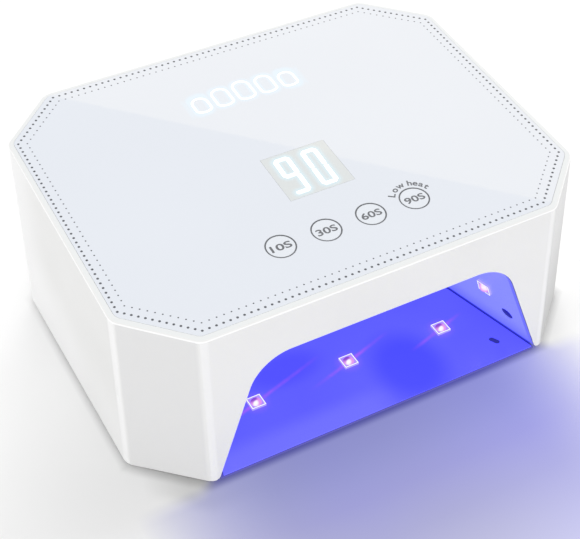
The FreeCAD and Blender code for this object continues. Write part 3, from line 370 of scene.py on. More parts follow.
def panel_material():
    t = Tree("panel_gloss")
    px, py = panel_space(t)
    # halo of the lit emblem: light carried sideways in the sheet
    wrapped = t.math("WRAP", px, NAIL_PITCH / 2, -NAIL_PITCH / 2)
    arch = t.math("MULTIPLY", t.math("MULTIPLY", px, px), -0.0021)
    rise = t.math("SUBTRACT", t.math("SUBTRACT", py, NAIL_ROW + 0.5), arch)
    qx = t.math("SUBTRACT", t.math("ABSOLUTE", wrapped), 1.3)
    qy = t.math("SUBTRACT", t.math("ABSOLUTE", rise), 3.5)
    ox, oy = t.math("MAXIMUM", qx, 0.0), t.math("MAXIMUM", qy, 0.0)
    ring = t.math("ABSOLUTE", t.math("SUBTRACT", t.math("SQRT", t.math("ADD", t.math("MULTIPLY", ox, ox), t.math("MULTIPLY", oy, oy))), 2.4))
    inside = t.smooth(t.math("ABSOLUTE", px), 26.0, 29.5, 1.0, 0.0)
    halo = t.math("MULTIPLY", t.smooth(ring, 0.3, 3.0, 1.0, 0.0), inside)
    drift = t.noise(14.0, 2.0, 0.5)
    base = t.mix(t.smooth(drift, 0.3, 0.7), linear(219, 223, 230), linear(220, 224, 231))
    nx, ny, nz = t.split(t.node("ShaderNodeNewGeometry").outputs["Normal"])
    base = t.mix(t.smooth(nz, 0.985, 0.95), base, linear(226, 229, 229))
    base = t.mix(t.math("MULTIPLY", halo, 0.5), base, linear(212, 232, 245))
    fine = t.noise(500.0, 2.0, 0.5)
    b = t.principled(Base_Color=base, Roughness=t.math("ADD", t.math("MULTIPLY", fine, 0.02), 0.012), Specular_IOR_Level=0.5,
                     Emission_Color=linear(190, 232, 255), Emission_Strength=t.math("MULTIPLY", halo, 0.025))
    t.link(t.bump(t.noise(45.0, 1.0), 0.006, 0.0003), b.inputs["Normal"])
    return t.finish(b.outputs[0])


def window_material():
    t = Tree("window_grey")
    px, py = panel_space(t)
    far = least(t, [capsule_distance(t, px, py, a, b) for a, b in DIGITS])
    # painted glow of the lit digits on the window round them
    halo = t.smooth(far, 0.7, 3.6, 1.0, 0.0)
    fine = t.noise(900.0, 2.0)
    base = t.mix(fine, linear(211, 214, 214), linear(214, 218, 218))
    base = t.mix(t.math("MULTIPLY", halo, 0.7), base, linear(208, 229, 237))
    b = t.principled(Base_Color=base, Roughness=0.07, Specular_IOR_Level=0.5, Emission_Color=linear(170, 225, 245), Emission_Strength=t.math("MULTIPLY", halo, 0.04))
    return t.finish(b.outputs[0])


LED_FLOOR = [(-46.3, -53.5), (0.0, -51.5), (46.3, -53.5), (-27.0, 4.0), (27.0, 4.0)]
STREAK = (0.954, 0.300)


def away_from(t, px, py, x, y, wide=1.0, tall=1.0):
    u = t.math("MULTIPLY", t.math("SUBTRACT", px, x), 1.0 / wide)
    v = t.math("MULTIPLY", t.math("SUBTRACT", py, y), 1.0 / tall)
    return t.math("SQRT", t.math("ADD", t.math("MULTIPLY", u, u), t.math("MULTIPLY", v, v)))


def most(t, values):
    out = values[0]
    for v in values[1:]:
        out = t.math("MAXIMUM", out, v)
    return out


def mirror_material():
    """Polished floor sheet, painted as lit by violet light: a deep blue glow with painted pools of light and shade, and
    painted reflections of its LEDs as streaks.
    """
    t = Tree("mirror_floor")
    x, y, z = t.split(t.place())
    px, py = t.math("MULTIPLY", x, 1000.0), t.math("MULTIPLY", y, 1000.0)
    cloud = t.noise(13.0, 2.0, 0.45, distortion=0.6)
    base = t.mix(t.smooth(cloud, 0.35, 0.65), linear(86, 85, 254), linear(91, 91, 255))
    # painted light and shade: lighter at the front left, two darker pools, darker towards the back
    near = t.math("MULTIPLY", t.smooth(py, -66.0, -77.0), t.smooth(px, 12.0, -6.0))
    base = t.mix(near, base, linear(103, 103, 253))
    base = t.mix(t.smooth(away_from(t, px, py, 22.0, -66.0, 19.0, 24.0), 0.45, 1.15, 0.9, 0.0), base, linear(68, 70, 255))
    base = t.mix(t.smooth(away_from(t, px, py, -27.0, -42.0, 20.0, 11.0), 0.4, 1.2, 0.85, 0.0), base, linear(74, 73, 255))
    base = t.mix(t.smooth(py, -40.0, 10.0, 0.0, 0.75), base, linear(78, 76, 248))
    base = t.mix(t.smooth(py, 20.0, 62.0, 0.0, 0.6), base, linear(58, 56, 214))
    # painted reflections of the LEDs as streaks along the sheet, and painted glow round each LED
    lines, halos = [], []
    for (bx, by), back_, on in ((LED_FLOOR[0], 20.0, 42.0), (LED_FLOOR[1], 24.0, 27.0), (LED_FLOOR[2], 20.0, 14.0), (LED_FLOOR[3], 24.0, 24.0), (LED_FLOOR[4], 24.0, 24.0)):
        for sign, reach in ((-1, back_), (1, on)):
            end = (bx + sign * reach * STREAK[0], by + sign * reach * STREAK[1])
            far = capsule_distance(t, px, py, (bx, by), end)
            fade = t.smooth(away_from(t, px, py, bx, by), 3.0, reach + 1.5, 1.0, 0.0)
            lines.append(t.math("MULTIPLY", t.smooth(far, 0.0, 1.5, 1.0, 0.0), fade))
        halos.append(t.smooth(away_from(t, px, py, bx, by), 3.0, 7.5, 0.35, 0.0))
    lit = t.mix(most(t, halos), base, linear(150, 104, 252))
    broken = t.smooth(t.noise(150.0, 2.0, 0.6), 0.35, 0.65, 0.3, 0.62)
    lit = t.mix(t.math("MULTIPLY", most(t, lines), broken), lit, linear(190, 90, 240))
    # dull edge of the sheet; the whole sheet glows with the painted tone as painted violet light
    b = t.principled(Base_Color=t.mix(0.5, base, (0.0, 0.0, 0.0)), Roughness=t.math("ADD", t.math("MULTIPLY", cloud, 0.08), 0.2), Specular_IOR_Level=0.35,
                     Emission_Color=lit, Emission_Strength=0.86)
    return t.finish(b.outputs[0])


def reflector_material():
    """Metallised liner, painted as lit by violet light: its inner faces glow, with painted shade and light."""
    t = Tree("reflector_violet")
    x, y, z = t.split(t.place())
    px, py, pz = (t.math("MULTIPLY", v, 1000.0) for v in (x, y, z))
    cloud = t.noise(22.0, 2.0, 0.5)
    # painted shade and light: darker towards the back and near the floor, lighter under the ceiling, a painted shade
    # line along the foot
    wall = t.mix(cloud, linear(120, 124, 255), linear(132, 137, 255))
    deep = t.mix(t.smooth(py, -60.0, 50.0), wall, linear(90, 90, 246))
    low = t.mix(t.smooth(pz, 3.0, 14.0, 0.45, 0.0), deep, linear(92, 96, 250))
    ceiling = t.mix(t.smooth(pz, 50.0, 56.0), low, linear(150, 150, 255))
    foot = t.mix(t.smooth(pz, 2.2, 3.2, 0.95, 0.0), ceiling, linear(42, 46, 186))
    fine = t.noise(1200.0, 2.0)
    towards = t.vector("DOT_PRODUCT", t.vector("SUBTRACT", t.place(), (0.0, -0.010, 0.025)), t.node("ShaderNodeNewGeometry").outputs["Normal"])
    past_side = t.math("SUBTRACT", t.math("ABSOLUTE", px), t.math("SUBTRACT", t.math("SUBTRACT", 57.216, t.math("MULTIPLY", py, 0.2464)), t.math("MULTIPLY", pz, 0.36)))
    past = t.math("MAXIMUM", t.math("MAXIMUM", past_side, t.math("SUBTRACT", py, 62.0)), t.math("SUBTRACT", pz, 57.3))
    clear_of_window = t.smooth(t.vector("LENGTH", t.vector("SUBTRACT", t.place(), (0.0692, -0.0703, 0.015))), 0.005, 0.007)
    outside = t.math("MAXIMUM", t.smooth(past, 0.9, 1.4), t.math("MULTIPLY", t.smooth(towards, 0.01, 0.02), clear_of_window))
    inner = t.math("SUBTRACT", 1.0, outside)
    outer = t.mix(fine, (0.66, 0.66, 0.67), (0.72, 0.72, 0.73))
    b = t.principled(Base_Color=t.mix(inner, outer, t.mix(0.4, foot, (0.0, 0.0, 0.0))), Roughness=t.math("ADD", t.math("MULTIPLY", fine, 0.08), 0.2), Specular_IOR_Level=0.4,
                     Emission_Color=foot, Emission_Strength=t.math("MULTIPLY", inner, 0.86))
    t.link(t.bump(fine, 0.04, 0.00003), b.inputs["Normal"])
    return t.finish(b.outputs[0])


def lens_shader(t, tint, hot):
    """Silicone dome over a lit die: tinted glow, part clear, with a glossy skin."""
    e = t.node("ShaderNodeEmission")
    t.link(t.mix(hot, tint, (1.0, 1.0, 1.0)), e.inputs[0])
    e.inputs[1].default_value = 1.0
    clear = t.node("ShaderNodeBsdfTransparent")
    clear.inputs[0].default_value = (1.0, 0.94, 1.0, 1.0)
    gloss = t.node("ShaderNodeBsdfGlossy")
    gloss.inputs["Roughness"].default_value = 0.1
    m1 = t.node("ShaderNodeMixShader")
    m1.inputs[0].default_value = 0.08
    t.link(e.outputs[0], m1.inputs[1])
    t.link(clear.outputs[0], m1.inputs[2])
    m2 = t.node("ShaderNodeMixShader")
    fresnel = t.node("ShaderNodeFresnel")
    fresnel.inputs[0].default_value = 1.3
    t.link(t.math("MULTIPLY", fresnel.outputs[0], 0.5), m2.inputs[0])
    t.link(m1.outputs[0], m2.inputs[1])
    t.link(gloss.outputs[0], m2.inputs[2])
    return m2.outputs[0]


def floor_lens_material():
    """Domes on the floor: painted violet shade on one flank, pink on the other, and a white hot spot, a painted
    highlight, low on the near flank.
    """
    t = Tree("lens_floor")
    x, y, z = t.split(t.place())
    px, py = t.math("MULTIPLY", x, 1000.0), t.math("MULTIPLY", y, 1000.0)
    fine = t.noise(500.0, 1.0)
    spot = most(t, [t.smooth(away_from(t, px, py, bx - 0.75, by - 1.45, 1.25, 0.95), 0.5, 1.35, 1.0, 0.0) for bx, by in LED_FLOOR])
    glow_ = most(t, [t.smooth(away_from(t, px, py, bx - 0.4, by - 0.8), 0.8, 2.7, 1.0, 0.0) for bx, by in LED_FLOOR])
    shade = most(t, [t.smooth(away_from(t, px, py, bx - 0.7, by + 1.1), 0.9, 2.5, 1.0, 0.0) for bx, by in LED_FLOOR])
    tint = t.mix(fine, linear(226, 150, 232), linear(236, 160, 236))
    tint = t.mix(t.math("MULTIPLY", glow_, 0.45), tint, linear(246, 170, 246))
    tint = t.mix(t.math("MULTIPLY", shade, 0.95), tint, linear(132, 66, 204))
    return t.finish(lens_shader(t, tint, spot))


def lens_material():
    """Domes on the walls and ceiling: pale pink towards their middle."""
    t = Tree("lens_wall")
    facing = t.node("ShaderNodeLayerWeight")
    facing.inputs["Blend"].default_value = 0.35
    fine = t.noise(700.0, 1.0)
    tint = t.mix(facing.outputs["Facing"], linear(255, 188, 246), linear(206, 120, 240))
    tint = t.mix(t.math("MULTIPLY", fine, 0.25), tint, linear(255, 220, 255))
    return t.finish(lens_shader(t, tint, t.smooth(facing.outputs["Facing"], 0.12, 0.3, 0.7, 0.0)))


def package_material():
    t = Tree("led_package")
    fine = t.noise(1500.0, 2.0)
    base = t.mix(fine, linear(186, 170, 240), linear(206, 190, 248))
    # painted violet light: the white package glows lavender
    b = t.principled(Base_Color=linear(120, 115, 200), Roughness=0.4, Emission_Color=base, Emission_Strength=0.6)
    t.link(t.bump(fine, 0.1, 0.00003), b.inputs["Normal"])
    return t.finish(b.outputs[0])


def base_material():
    """Near-black coat, put under the floor sheet as painted shade below its front edge; its lip under the opening and
    its upper side glow with painted violet light.
    """
    t = Tree("base_dark_shade")
    fine = t.noise(1400.0, 2.0, 0.6)
    x, y, z = t.split(t.place())
    lip = t.smooth(y, -0.0795, -0.081)
    over = t.smooth(z, 0.0014, 0.00155)
    b = t.principled(Base_Color=t.mix(fine, (0.026, 0.026, 0.032), (0.036, 0.036, 0.042)), Roughness=0.5,
                     Emission_Color=t.mix(lip, linear(34, 38, 172), linear(78, 74, 176)), Emission_Strength=t.math("MULTIPLY", t.math("MAXIMUM", lip, over), 0.9))
    t.link(t.bump(fine, 0.35, 0.00008), b.inputs["Normal"])
    return t.finish(b.outputs[0])


MATERIALS = {
    "shell": shell_material(),
    "panel": panel_material(),
    "window": window_material(),
    "mirror": mirror_material(),
    "reflector": reflector_material(),
    "lens": lens_material(),
    "floor_lens": floor_lens_material(),
    "package": package_material(),
    "key": moulded("key_gloss", linear(221, 225, 231), rough=0.07, vary=0.008, grain=500.0, relief=0.01, rough_vary=0.02),
    "ink": moulded("ink_grey", linear(88, 90, 96), rough=0.5, vary=0.06, grain=3000.0, relief=0.1),
    "ink_bold": moulded("ink_dark", linear(104, 106, 111), rough=0.5, vary=0.08, grain=3000.0, relief=0.1),
    "ink_pale": moulded("ink_pale", linear(100, 102, 108), rough=0.5, vary=0.06, grain=3000.0, relief=0.1),
    "seal": moulded("seal_grey", linear(100, 102, 107), rough=0.55, vary=0.05, grain=2500.0, relief=0.15),
    "adhesive": moulded("adhesive_film", (0.85, 0.85, 0.86), rough=0.6, vary=0.04, grain=800.0),
    "black": moulded("black_resin", (0.025, 0.025, 0.028), rough=0.5, vary=0.2, grain=2200.0, relief=0.2),
    "dark": moulded("dark_plastic", (0.06, 0.06, 0.065), rough=0.45, vary=0.15, grain=1800.0, relief=0.15),
    # the sensor parts glow dark blue: painted violet light from the cavity
    "sensor": glow("sensor_wall", linear(24, 24, 116), 0.8, base=(0.004, 0.004, 0.02), rough=0.12, vary=0.3),
    "sensor_floor": glow("sensor_floor", linear(44, 44, 156), 0.85, base=(0.006, 0.006, 0.03), rough=0.12, vary=0.3),
    "tin": brushed("tin_plate", (0.72, 0.72, 0.74), rough=0.32, along="X"),
    "steel": brushed("zinc_steel", (0.62, 0.63, 0.66), rough=0.35, along="Y"),
    "brass": brushed("brass_turned", (0.80, 0.60, 0.28), rough=0.28, along="Z"),
    "alu": brushed("aluminium_plain", (0.78, 0.79, 0.81), rough=0.38, along="Y"),
    "green": board("board_green", (0.02, 0.12, 0.05), (0.10, 0.28, 0.12)),
    "white_board": board("board_white", (0.78, 0.78, 0.78), (0.62, 0.62, 0.60)),
    "flex": board("flex_white", (0.74, 0.74, 0.70), (0.62, 0.56, 0.46)),
    "segment": glow("segment_cyan", (0.55, 0.9, 1.0), 1.0),
    "light_guide": moulded("milky_guide", (0.82, 0.85, 0.88), rough=0.35, vary=0.03),
    "base": base_material(),
    "foot": moulded("foot_rubber", (0.05, 0.05, 0.05), rough=0.8, vary=0.15, grain=2600.0, relief=0.4),
    "sleeve": moulded("can_sleeve", (0.02, 0.025, 0.07), rough=0.3, vary=0.1),
    "ferrite": moulded("ferrite_core", (0.045, 0.042, 0.042), rough=0.75, vary=0.2, grain=1500.0, relief=0.5),
    "wire": moulded("wire_white", (0.80, 0.80, 0.80), rough=0.45, vary=0.05),
    "cable": moulded("cable_grey", (0.30, 0.30, 0.32), rough=0.5, vary=0.08),
}

NODE_MATERIAL = {
    "housing": "shell", "top_panel": "panel", "display_window": "window", "panel_adhesive": "adhesive",
    "key_10s": "key", "key_30s": "key", "key_60s": "key", "key_90s": "key",
    "plunger_10s": "dark", "plunger_30s": "dark", "plunger_60s": "dark", "plunger_90s": "dark",
    "control_board": "green", "display_module": "black", "display_pins": "tin", "display_segments": "segment",
    "switch_bases": "black", "switch_covers": "tin", "switch_domes": "steel", "emblem_light_guide": "light_guide", "emblem_lamps": "light_guide",
    "control_chip": "black", "control_small_parts": "dark", "ribbon_socket": "light_guide", "control_board_screws": "steel",
    "reflector": "reflector", "mirror_plate": "mirror",
    "ceiling_led_packages": "package", "left_led_packages": "package", "right_led_packages": "package", "base_led_packages": "package",
    "ceiling_led_lenses": "lens", "left_led_lenses": "lens", "right_led_lenses": "lens", "base_led_lenses": "floor_lens",
    "ceiling_led_board": "white_board", "left_led_board": "white_board", "right_led_board": "white_board", "base_led_board": "flex",
    "ceiling_heat_plate": "alu", "base_plate": "base", "base_screws": "steel", "rubber_feet": "foot",
    "sensor_emitter": "sensor_floor", "sensor_receiver": "sensor", "sensor_holder": "dark",
    "driver_board": "green", "driver_standoffs": "brass", "driver_screws": "steel", "power_capacitors": "sleeve", "power_inductor": "ferrite",
    "driver_chips": "black", "heat_sink": "alu", "led_sockets": "light_guide", "inlet_jack": "black", "jack_pin": "brass",
    "led_leads": "wire", "control_cable": "cable",
}
for name, obj in nodes.items():
    obj.data.materials.clear()
    obj.data.materials.append(MATERIALS[NODE_MATERIAL[name]])

# ---------------------------------------------------------------- mesh helpers

def piece(name, vertices, faces, material, body, place=None, smooth=False):
    mesh = bpy.data.meshes.new(name)
    if place is not None:
        vertices = [place @ Vector((v[0] * MM, v[1] * MM, v[2] * MM)) for v in vertices]
    else:
        vertices = [Vector((v[0] * MM, v[1] * MM, v[2] * MM)) for v in vertices]
    mesh.from_pydata([tuple(v) for v in vertices], [], faces)
    mesh.validate()
    mesh.update()
    if smooth:
        mesh.polygons.foreach_set("use_smooth", [True] * len(mesh.polygons))
    mesh.materials.append(MATERIALS[material])
    obj = bpy.data.objects.new(name, mesh)
    scene.collection.objects.link(obj)
    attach(obj, body)
    return obj


class Heap:
    """Closed little solids gathered into one mesh."""

    def __init__(self):
        self.v, self.f = [], []

    def add(self, vertices, faces):
        start = len(self.v)
        self.v += vertices
        self.f += [tuple(i + start for i in f) for f in faces]

    def dot(self, x, y, radius, low, high, sides=14):
        """Ink dot: straight flank, then a softly domed top."""
        v = []
        for r, z in ((radius, low), (radius, low + 0.6 * (high - low)), (radius * 0.72, high)):
            v += [(x + r * math.cos(2 * math.pi * i / sides), y + r * math.sin(2 * math.pi * i / sides), z) for i in range(sides)]
        f = [tuple(reversed(range(sides))), tuple(range(2 * sides, 3 * sides))]
        for k in range(2):
            for i in range(sides):
                j = (i + 1) % sides
                f.append((k * sides + i, k * sides + j, (k + 1) * sides + j, (k + 1) * sides + i))
        self.add(v, f)

    def lathe(self, x, y, profile, sides=72):
        """Closed ring: profile is a closed loop of (radius, z)."""
        n = len(profile)
        v = [(x + r * math.cos(2 * math.pi * i / sides), y + r * math.sin(2 * math.pi * i / sides), z) for i in range(sides) for r, z in profile]
        f = []
        for i in range(sides):
            j = (i + 1) % sides
            for k in range(n):
                m = (k + 1) % n
                f.append((i * n + k, j * n + k, j * n + m, i * n + m))
        self.add(v, f)

    def bar(self, a, b, width, low, high, cap=8, bevel=0.25):
        """Rounded bar along a-b with a bevelled top."""
        ang = math.atan2(b[1] - a[1], b[0] - a[0])
        ring = []
        r = width / 2
        for c, start in ((b, ang - math.pi / 2), (a, ang + math.pi / 2)):
            for i in range(cap + 1):
                t = start + math.pi * i / cap
                ring.append((c, math.cos(t), math.sin(t)))
        n = len(ring)
        v = [(c[0] + r * cx, c[1] + r * cy, low) for c, cx, cy in ring]
        v += [(c[0] + r * cx, c[1] + r * cy, low + (high - low) * 0.5) for c, cx, cy in ring]
        v += [(c[0] + (r - bevel) * cx, c[1] + (r - bevel) * cy, high) for c, cx, cy in ring]
        f = [tuple(reversed(range(n))), tuple(range(2 * n, 3 * n))]
        for k in range(2):
            for i in range(n):
                j = (i + 1) % n
                f.append((k * n + i, k * n + j, (k + 1) * n + j, (k + 1) * n + i))
        self.add(v, f)

    def band(self, points, width, low, high, closed=True, crown=0.35):
        """Closed outline drawn with a stroke of the given width, its top crowned."""
        n = len(points)
        rows = []
        for i, p in enumerate(points):
            a, b = Vector(points[i - 1]), Vector(points[(i + 1) % n])
            d = (b - a).normalized()
            normal = Vector((d.y, -d.x))
            row = []
            for off, z in ((-0.5, low), (-0.5, low + 0.5 * (high - low)), (-0.5 * crown, high), (0.5 * crown, high), (0.5, low + 0.5 * (high - low)), (0.5, low)):
                q = Vector(p) + normal * (off * width)
                row.append((q.x, q.y, z))
            rows.append(row)
        m = len(rows[0])
        v = [p for row in rows for p in row]
        f = []
        for i in range(n):
            j = (i + 1) % n
            for k in range(m):
                q = (k + 1) % m
                f.append((i * m + k, i * m + q, j * m + q, j * m + k))
        self.add(v, f)


def glyphs(word, weight, thick, baseline=False):
    """Characters of the built-in face as a closed flat mesh, one unit in nominal size, thickened by weight."""
    curve = bpy.data.curves.new("glyphs", "FONT")
    curve.body = word
    curve.size = 1.0
    curve.align_x = "CENTER"
    curve.align_y = "TOP_BASELINE" if baseline else "CENTER"
    curve.offset = weight
    curve.extrude = thick / 2
    curve.resolution_u = 5
    holder = bpy.data.objects.new("glyphs", curve)
    scene.collection.objects.link(holder)
    bpy.context.view_layer.update()
    mesh = bpy.data.meshes.new_from_object(holder)
    bpy.data.objects.remove(holder)
    bpy.data.curves.remove(curve)
    return mesh


def extent(mesh):
    xs, ys = [v.co.x for v in mesh.vertices], [v.co.y for v in mesh.vertices]
    return min(xs), max(xs), min(ys), max(ys)


def printed(name, items, material, body):
    """items: (mesh, matrix in panel metres). Joins them into one printed piece on the panel."""
    bm = bmesh.new()
    for mesh, local in items:
        mesh.transform(TOP @ local)
        bm.from_mesh(mesh)
        bpy.data.meshes.remove(mesh)
    bmesh.ops.remove_doubles(bm, verts=bm.verts, dist=1e-7)
    bmesh.ops.recalc_face_normals(bm, faces=bm.faces)
    whole = bpy.data.meshes.new(name)
    bm.to_mesh(whole)
    bm.free()
    whole.materials.clear()
    whole.materials.append(MATERIALS[material])
    obj = bpy.data.objects.new(name, whole)
    scene.collection.objects.link(obj)
    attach(obj, body)
    return obj


# ---------------------------------------------------------------- print on the panel

def octagon(half_x, half_y, cut_x, cut_y, shift=(0.0, 0.0)):
    sx, sy = shift
    return [(x + sx, y + sy) for x, y in (
        (-(half_x - cut_x), -half_y), (half_x - cut_x, -half_y), (half_x, -(half_y - cut_y)), (half_x, half_y - cut_y),
        (half_x - cut_x, half_y), (-(half_x - cut_x), half_y), (-half_x, half_y - cut_y), (-half_x, -(half_y - cut_y)))]


def dot_row(corners, counts, radius):
    heap = Heap()
    for i in range(8):
        a, b = corners[i], corners[(i + 1) % 8]
        n = counts[i]
        for k in range(n):
            s = k / n
            heap.dot(a[0] + (b[0] - a[0]) * s, a[1] + (b[1] - a[1]) * s, radius, -0.03, 0.045)
    return heap


outer = dot_row(octagon(100.6, 75.55, 24.1, 22.58, (-0.15, 0.2)), (53, 12, 39, 12, 53, 12, 39, 12), 0.53)
piece("print_dots_outer", outer.v, outer.f, "ink", "lamp", TOP)
inner = dot_row(octagon(97.12, 72.07, 22.0, 20.6, (-0.1, 0.35)), (49, 10, 35, 10, 49, 10, 35, 10), 0.34)
piece("print_dots_inner", inner.v, inner.f, "ink_pale", "lamp", TOP)

# soft seal in the gap round each key
seals = Heap()
for tag, kx in KEYS:
    seals.lathe(kx, KEY_ROW, [(5.90, -1.05), (6.28, -1.05), (6.29, -0.04), (6.43, 0.005), (6.38, 0.05), (5.96, 0.05), (5.90, -0.02)], sides=96)
piece("key_seals", seals.v, seals.f, "seal", "lamp", TOP, smooth=False)

PRINT = 0.06      # the print's thickness in mm, half of it sunk
for tag, kx in KEYS:
    mesh = glyphs(tag.upper(), 0.019, 1.0)
    x0, x1, y0, y1 = extent(mesh)
    wide, tall = 9.0 * MM, 3.65 * MM
    sx, sy = wide / (x1 - x0), tall / (y1 - y0)
    shift = Matrix.Translation((kx * MM - sx * (x0 + x1) / 2, (KEY_ROW - 0.25) * MM - sy * (y0 + y1) / 2, 0))
    printed("print_" + tag, [(mesh, shift @ Matrix.Diagonal((sx, sy, PRINT * MM, 1)))], "ink_bold", "key_%s_body" % tag)

ARC = [("L", 144.0), ("o", 121.5), ("w", 99.0), ("h", 71.5), ("e", 56.5), ("a", 40.8), ("t", 25.0)]
ARC_BASE = 7.75
sample = glyphs("L", 0.022, 1.0, True)
x0, x1, y0, y1 = extent(sample)
bpy.data.meshes.remove(sample)
cap = 3.05 * MM / (y1 - y0)
items = []
for letter, degrees in ARC:
    a = math.radians(degrees)
    mesh = glyphs(letter, 0.022, 1.0, True)
    place_ = Matrix.Translation(((30.645 + ARC_BASE * math.cos(a)) * MM, (KEY_ROW + ARC_BASE * math.sin(a)) * MM, 0)) @ Matrix.Rotation(a - math.pi / 2, 4, "Z")
    items.append((mesh, place_ @ Matrix.Diagonal((cap * 1.12, cap, PRINT * MM, 1))))
printed("print_low_heat", items, "ink_bold", "lamp")

# ---------------------------------------------------------------- lit digits and emblem

MATERIALS["digit"] = glow("digit_white", (1.0, 1.0, 1.0), 1.35, rough=0.2)
digits = Heap()
for a, b in DIGITS:
    digits.bar(a, b, 1.85, -0.03, 0.05, bevel=0.2)
piece("display_digits", digits.v, digits.f, "digit", "lamp", TOP)

MATERIALS["emblem"] = glow("emblem_white", (0.95, 0.99, 1.0), 1.0, rough=0.2)
nails = Heap()
for outline in NAILS:
    nails.band(outline, 1.0, -0.03, 0.06)
piece("emblem_nails", nails.v, nails.f, "emblem", "lamp", TOP)

# ---------------------------------------------------------------- details of the LEDs

def led_frame(origin, run, inward):
    """Matrix with local z into the cavity."""
    z = Vector(inward).normalized()
    x = Vector(run)
    x = (x - z * x.dot(z)).normalized()
    y = z.cross(x)
    m = Matrix((x, y, z)).transposed().to_4x4()
    return Matrix.Translation(Vector(origin) * MM) @ m


CAVE = (57.216, 0.2464, 0.36)
CEILING = [(-30.0, -52.0), (0.0, -52.0), (30.0, -52.0), (-19.0, -14.0), (0.0, -14.0), (19.0, -14.0), (-9.0, 20.0), (9.0, 20.0)]


def side_origin(sign, along, lift):
    y, z = -60.9, 26.6
    out = Vector((sign * 1.0, CAVE[1], CAVE[2])).normalized()
    run = Vector((-sign * CAVE[1], 1.0, 0.0)).normalized()
    start = Vector((sign * (CAVE[0] - CAVE[1] * y - CAVE[2] * z), y, z))
    return start + run * along + out * lift, run, -out


# origin of each frame is the outer face of the package, where it stands 0.9 mm proud
GROUPS = {
    "base": [led_frame((x, y, 2.44 + 0.9), (1, 0, 0), (0, 0, 1)) for x, y in LED_FLOOR],
    "ceiling": [led_frame((x, y, 57.3 - 0.9), (1, 0, 0), (0, 0, -1)) for x, y in CEILING],
}
for sign, name in ((-1, "left"), (1, "right")):
    GROUPS[name] = []
    for along in (0.0, 30.0, 60.0, 90.0):
        o, run, inward = side_origin(sign, along, -0.9)
        GROUPS[name].append(led_frame(o, run, inward))

# the bezels glow white: painted highlight on the package rims
MATERIALS["bezel"] = glow("led_bezel", (0.90, 0.92, 1.0), 1.0, rough=0.25, vary=0.03)
MATERIALS["tray"] = glow("led_tray", linear(176, 138, 238), 0.85, rough=0.4, vary=0.12)
MATERIALS["die"] = glow("led_die", (1.0, 0.93, 1.0), 1.6, rough=0.3)


def square_band(half, width, low, high, bevel=0.05):
    """Bevelled square frame as a closed loop."""
    rows = []
    for sx, sy in ((-1, -1), (1, -1), (1, 1), (-1, 1)):
        rows.append([(sx * (half - off), sy * (half - off), z) for off, z in
                     ((0.0, low), (0.0, high - bevel), (bevel, high), (width - bevel, high), (width, high - bevel), (width, low))])
    m = len(rows[0])
    v = [p for row in rows for p in row]
    f = []
    for i in range(4):
        j = (i + 1) % 4
        for k in range(m):
            q = (k + 1) % m
            f.append((i * m + k, j * m + k, j * m + q, i * m + q))
    return v, f


def block(cx, cy, hx, hy, low, high, bevel=0.08):
    v = [(cx + sx * hx, cy + sy * hy, low) for sx, sy in ((-1, -1), (1, -1), (1, 1), (-1, 1))]
    v += [(cx + sx * hx, cy + sy * hy, high - bevel) for sx, sy in ((-1, -1), (1, -1), (1, 1), (-1, 1))]
    v += [(cx + sx * (hx - bevel), cy + sy * (hy - bevel), high) for sx, sy in ((-1, -1), (1, -1), (1, 1), (-1, 1))]
    f = [(3, 2, 1, 0), (8, 9, 10, 11)]
    for k in (0, 4):
        for i in range(4):
            j = (i + 1) % 4
            f.append((k + i, k + j, k + 4 + j, k + 4 + i))
    return v, f


for name, frames in GROUPS.items():
    bezel, tray, die = Heap(), Heap(), Heap()
    for m in frames:
        def put(heap, shape):
            v, f = shape
            heap.add([tuple((m @ Vector((p[0] * MM, p[1] * MM, p[2] * MM))) / MM) for p in v], f)
        put(bezel, square_band(3.235, 0.36, -0.04, 0.06))
        put(tray, block(0, 0, 2.58, 2.58, -0.36, -0.30, 0.02))
        put(die, block(-0.45, -0.6, 0.5, 0.5, -0.31, -0.12))
        put(die, block(0.65, 0.5, 0.35, 0.35, -0.31, -0.15))
    piece("led_bezels_" + name, bezel.v, bezel.f, "bezel", "lamp")
    piece("led_trays_" + name, tray.v, tray.f, "tray", "lamp")
    piece("led_dies_" + name, die.v, die.f, "die", "lamp")

# ---------------------------------------------------------------- floor and light

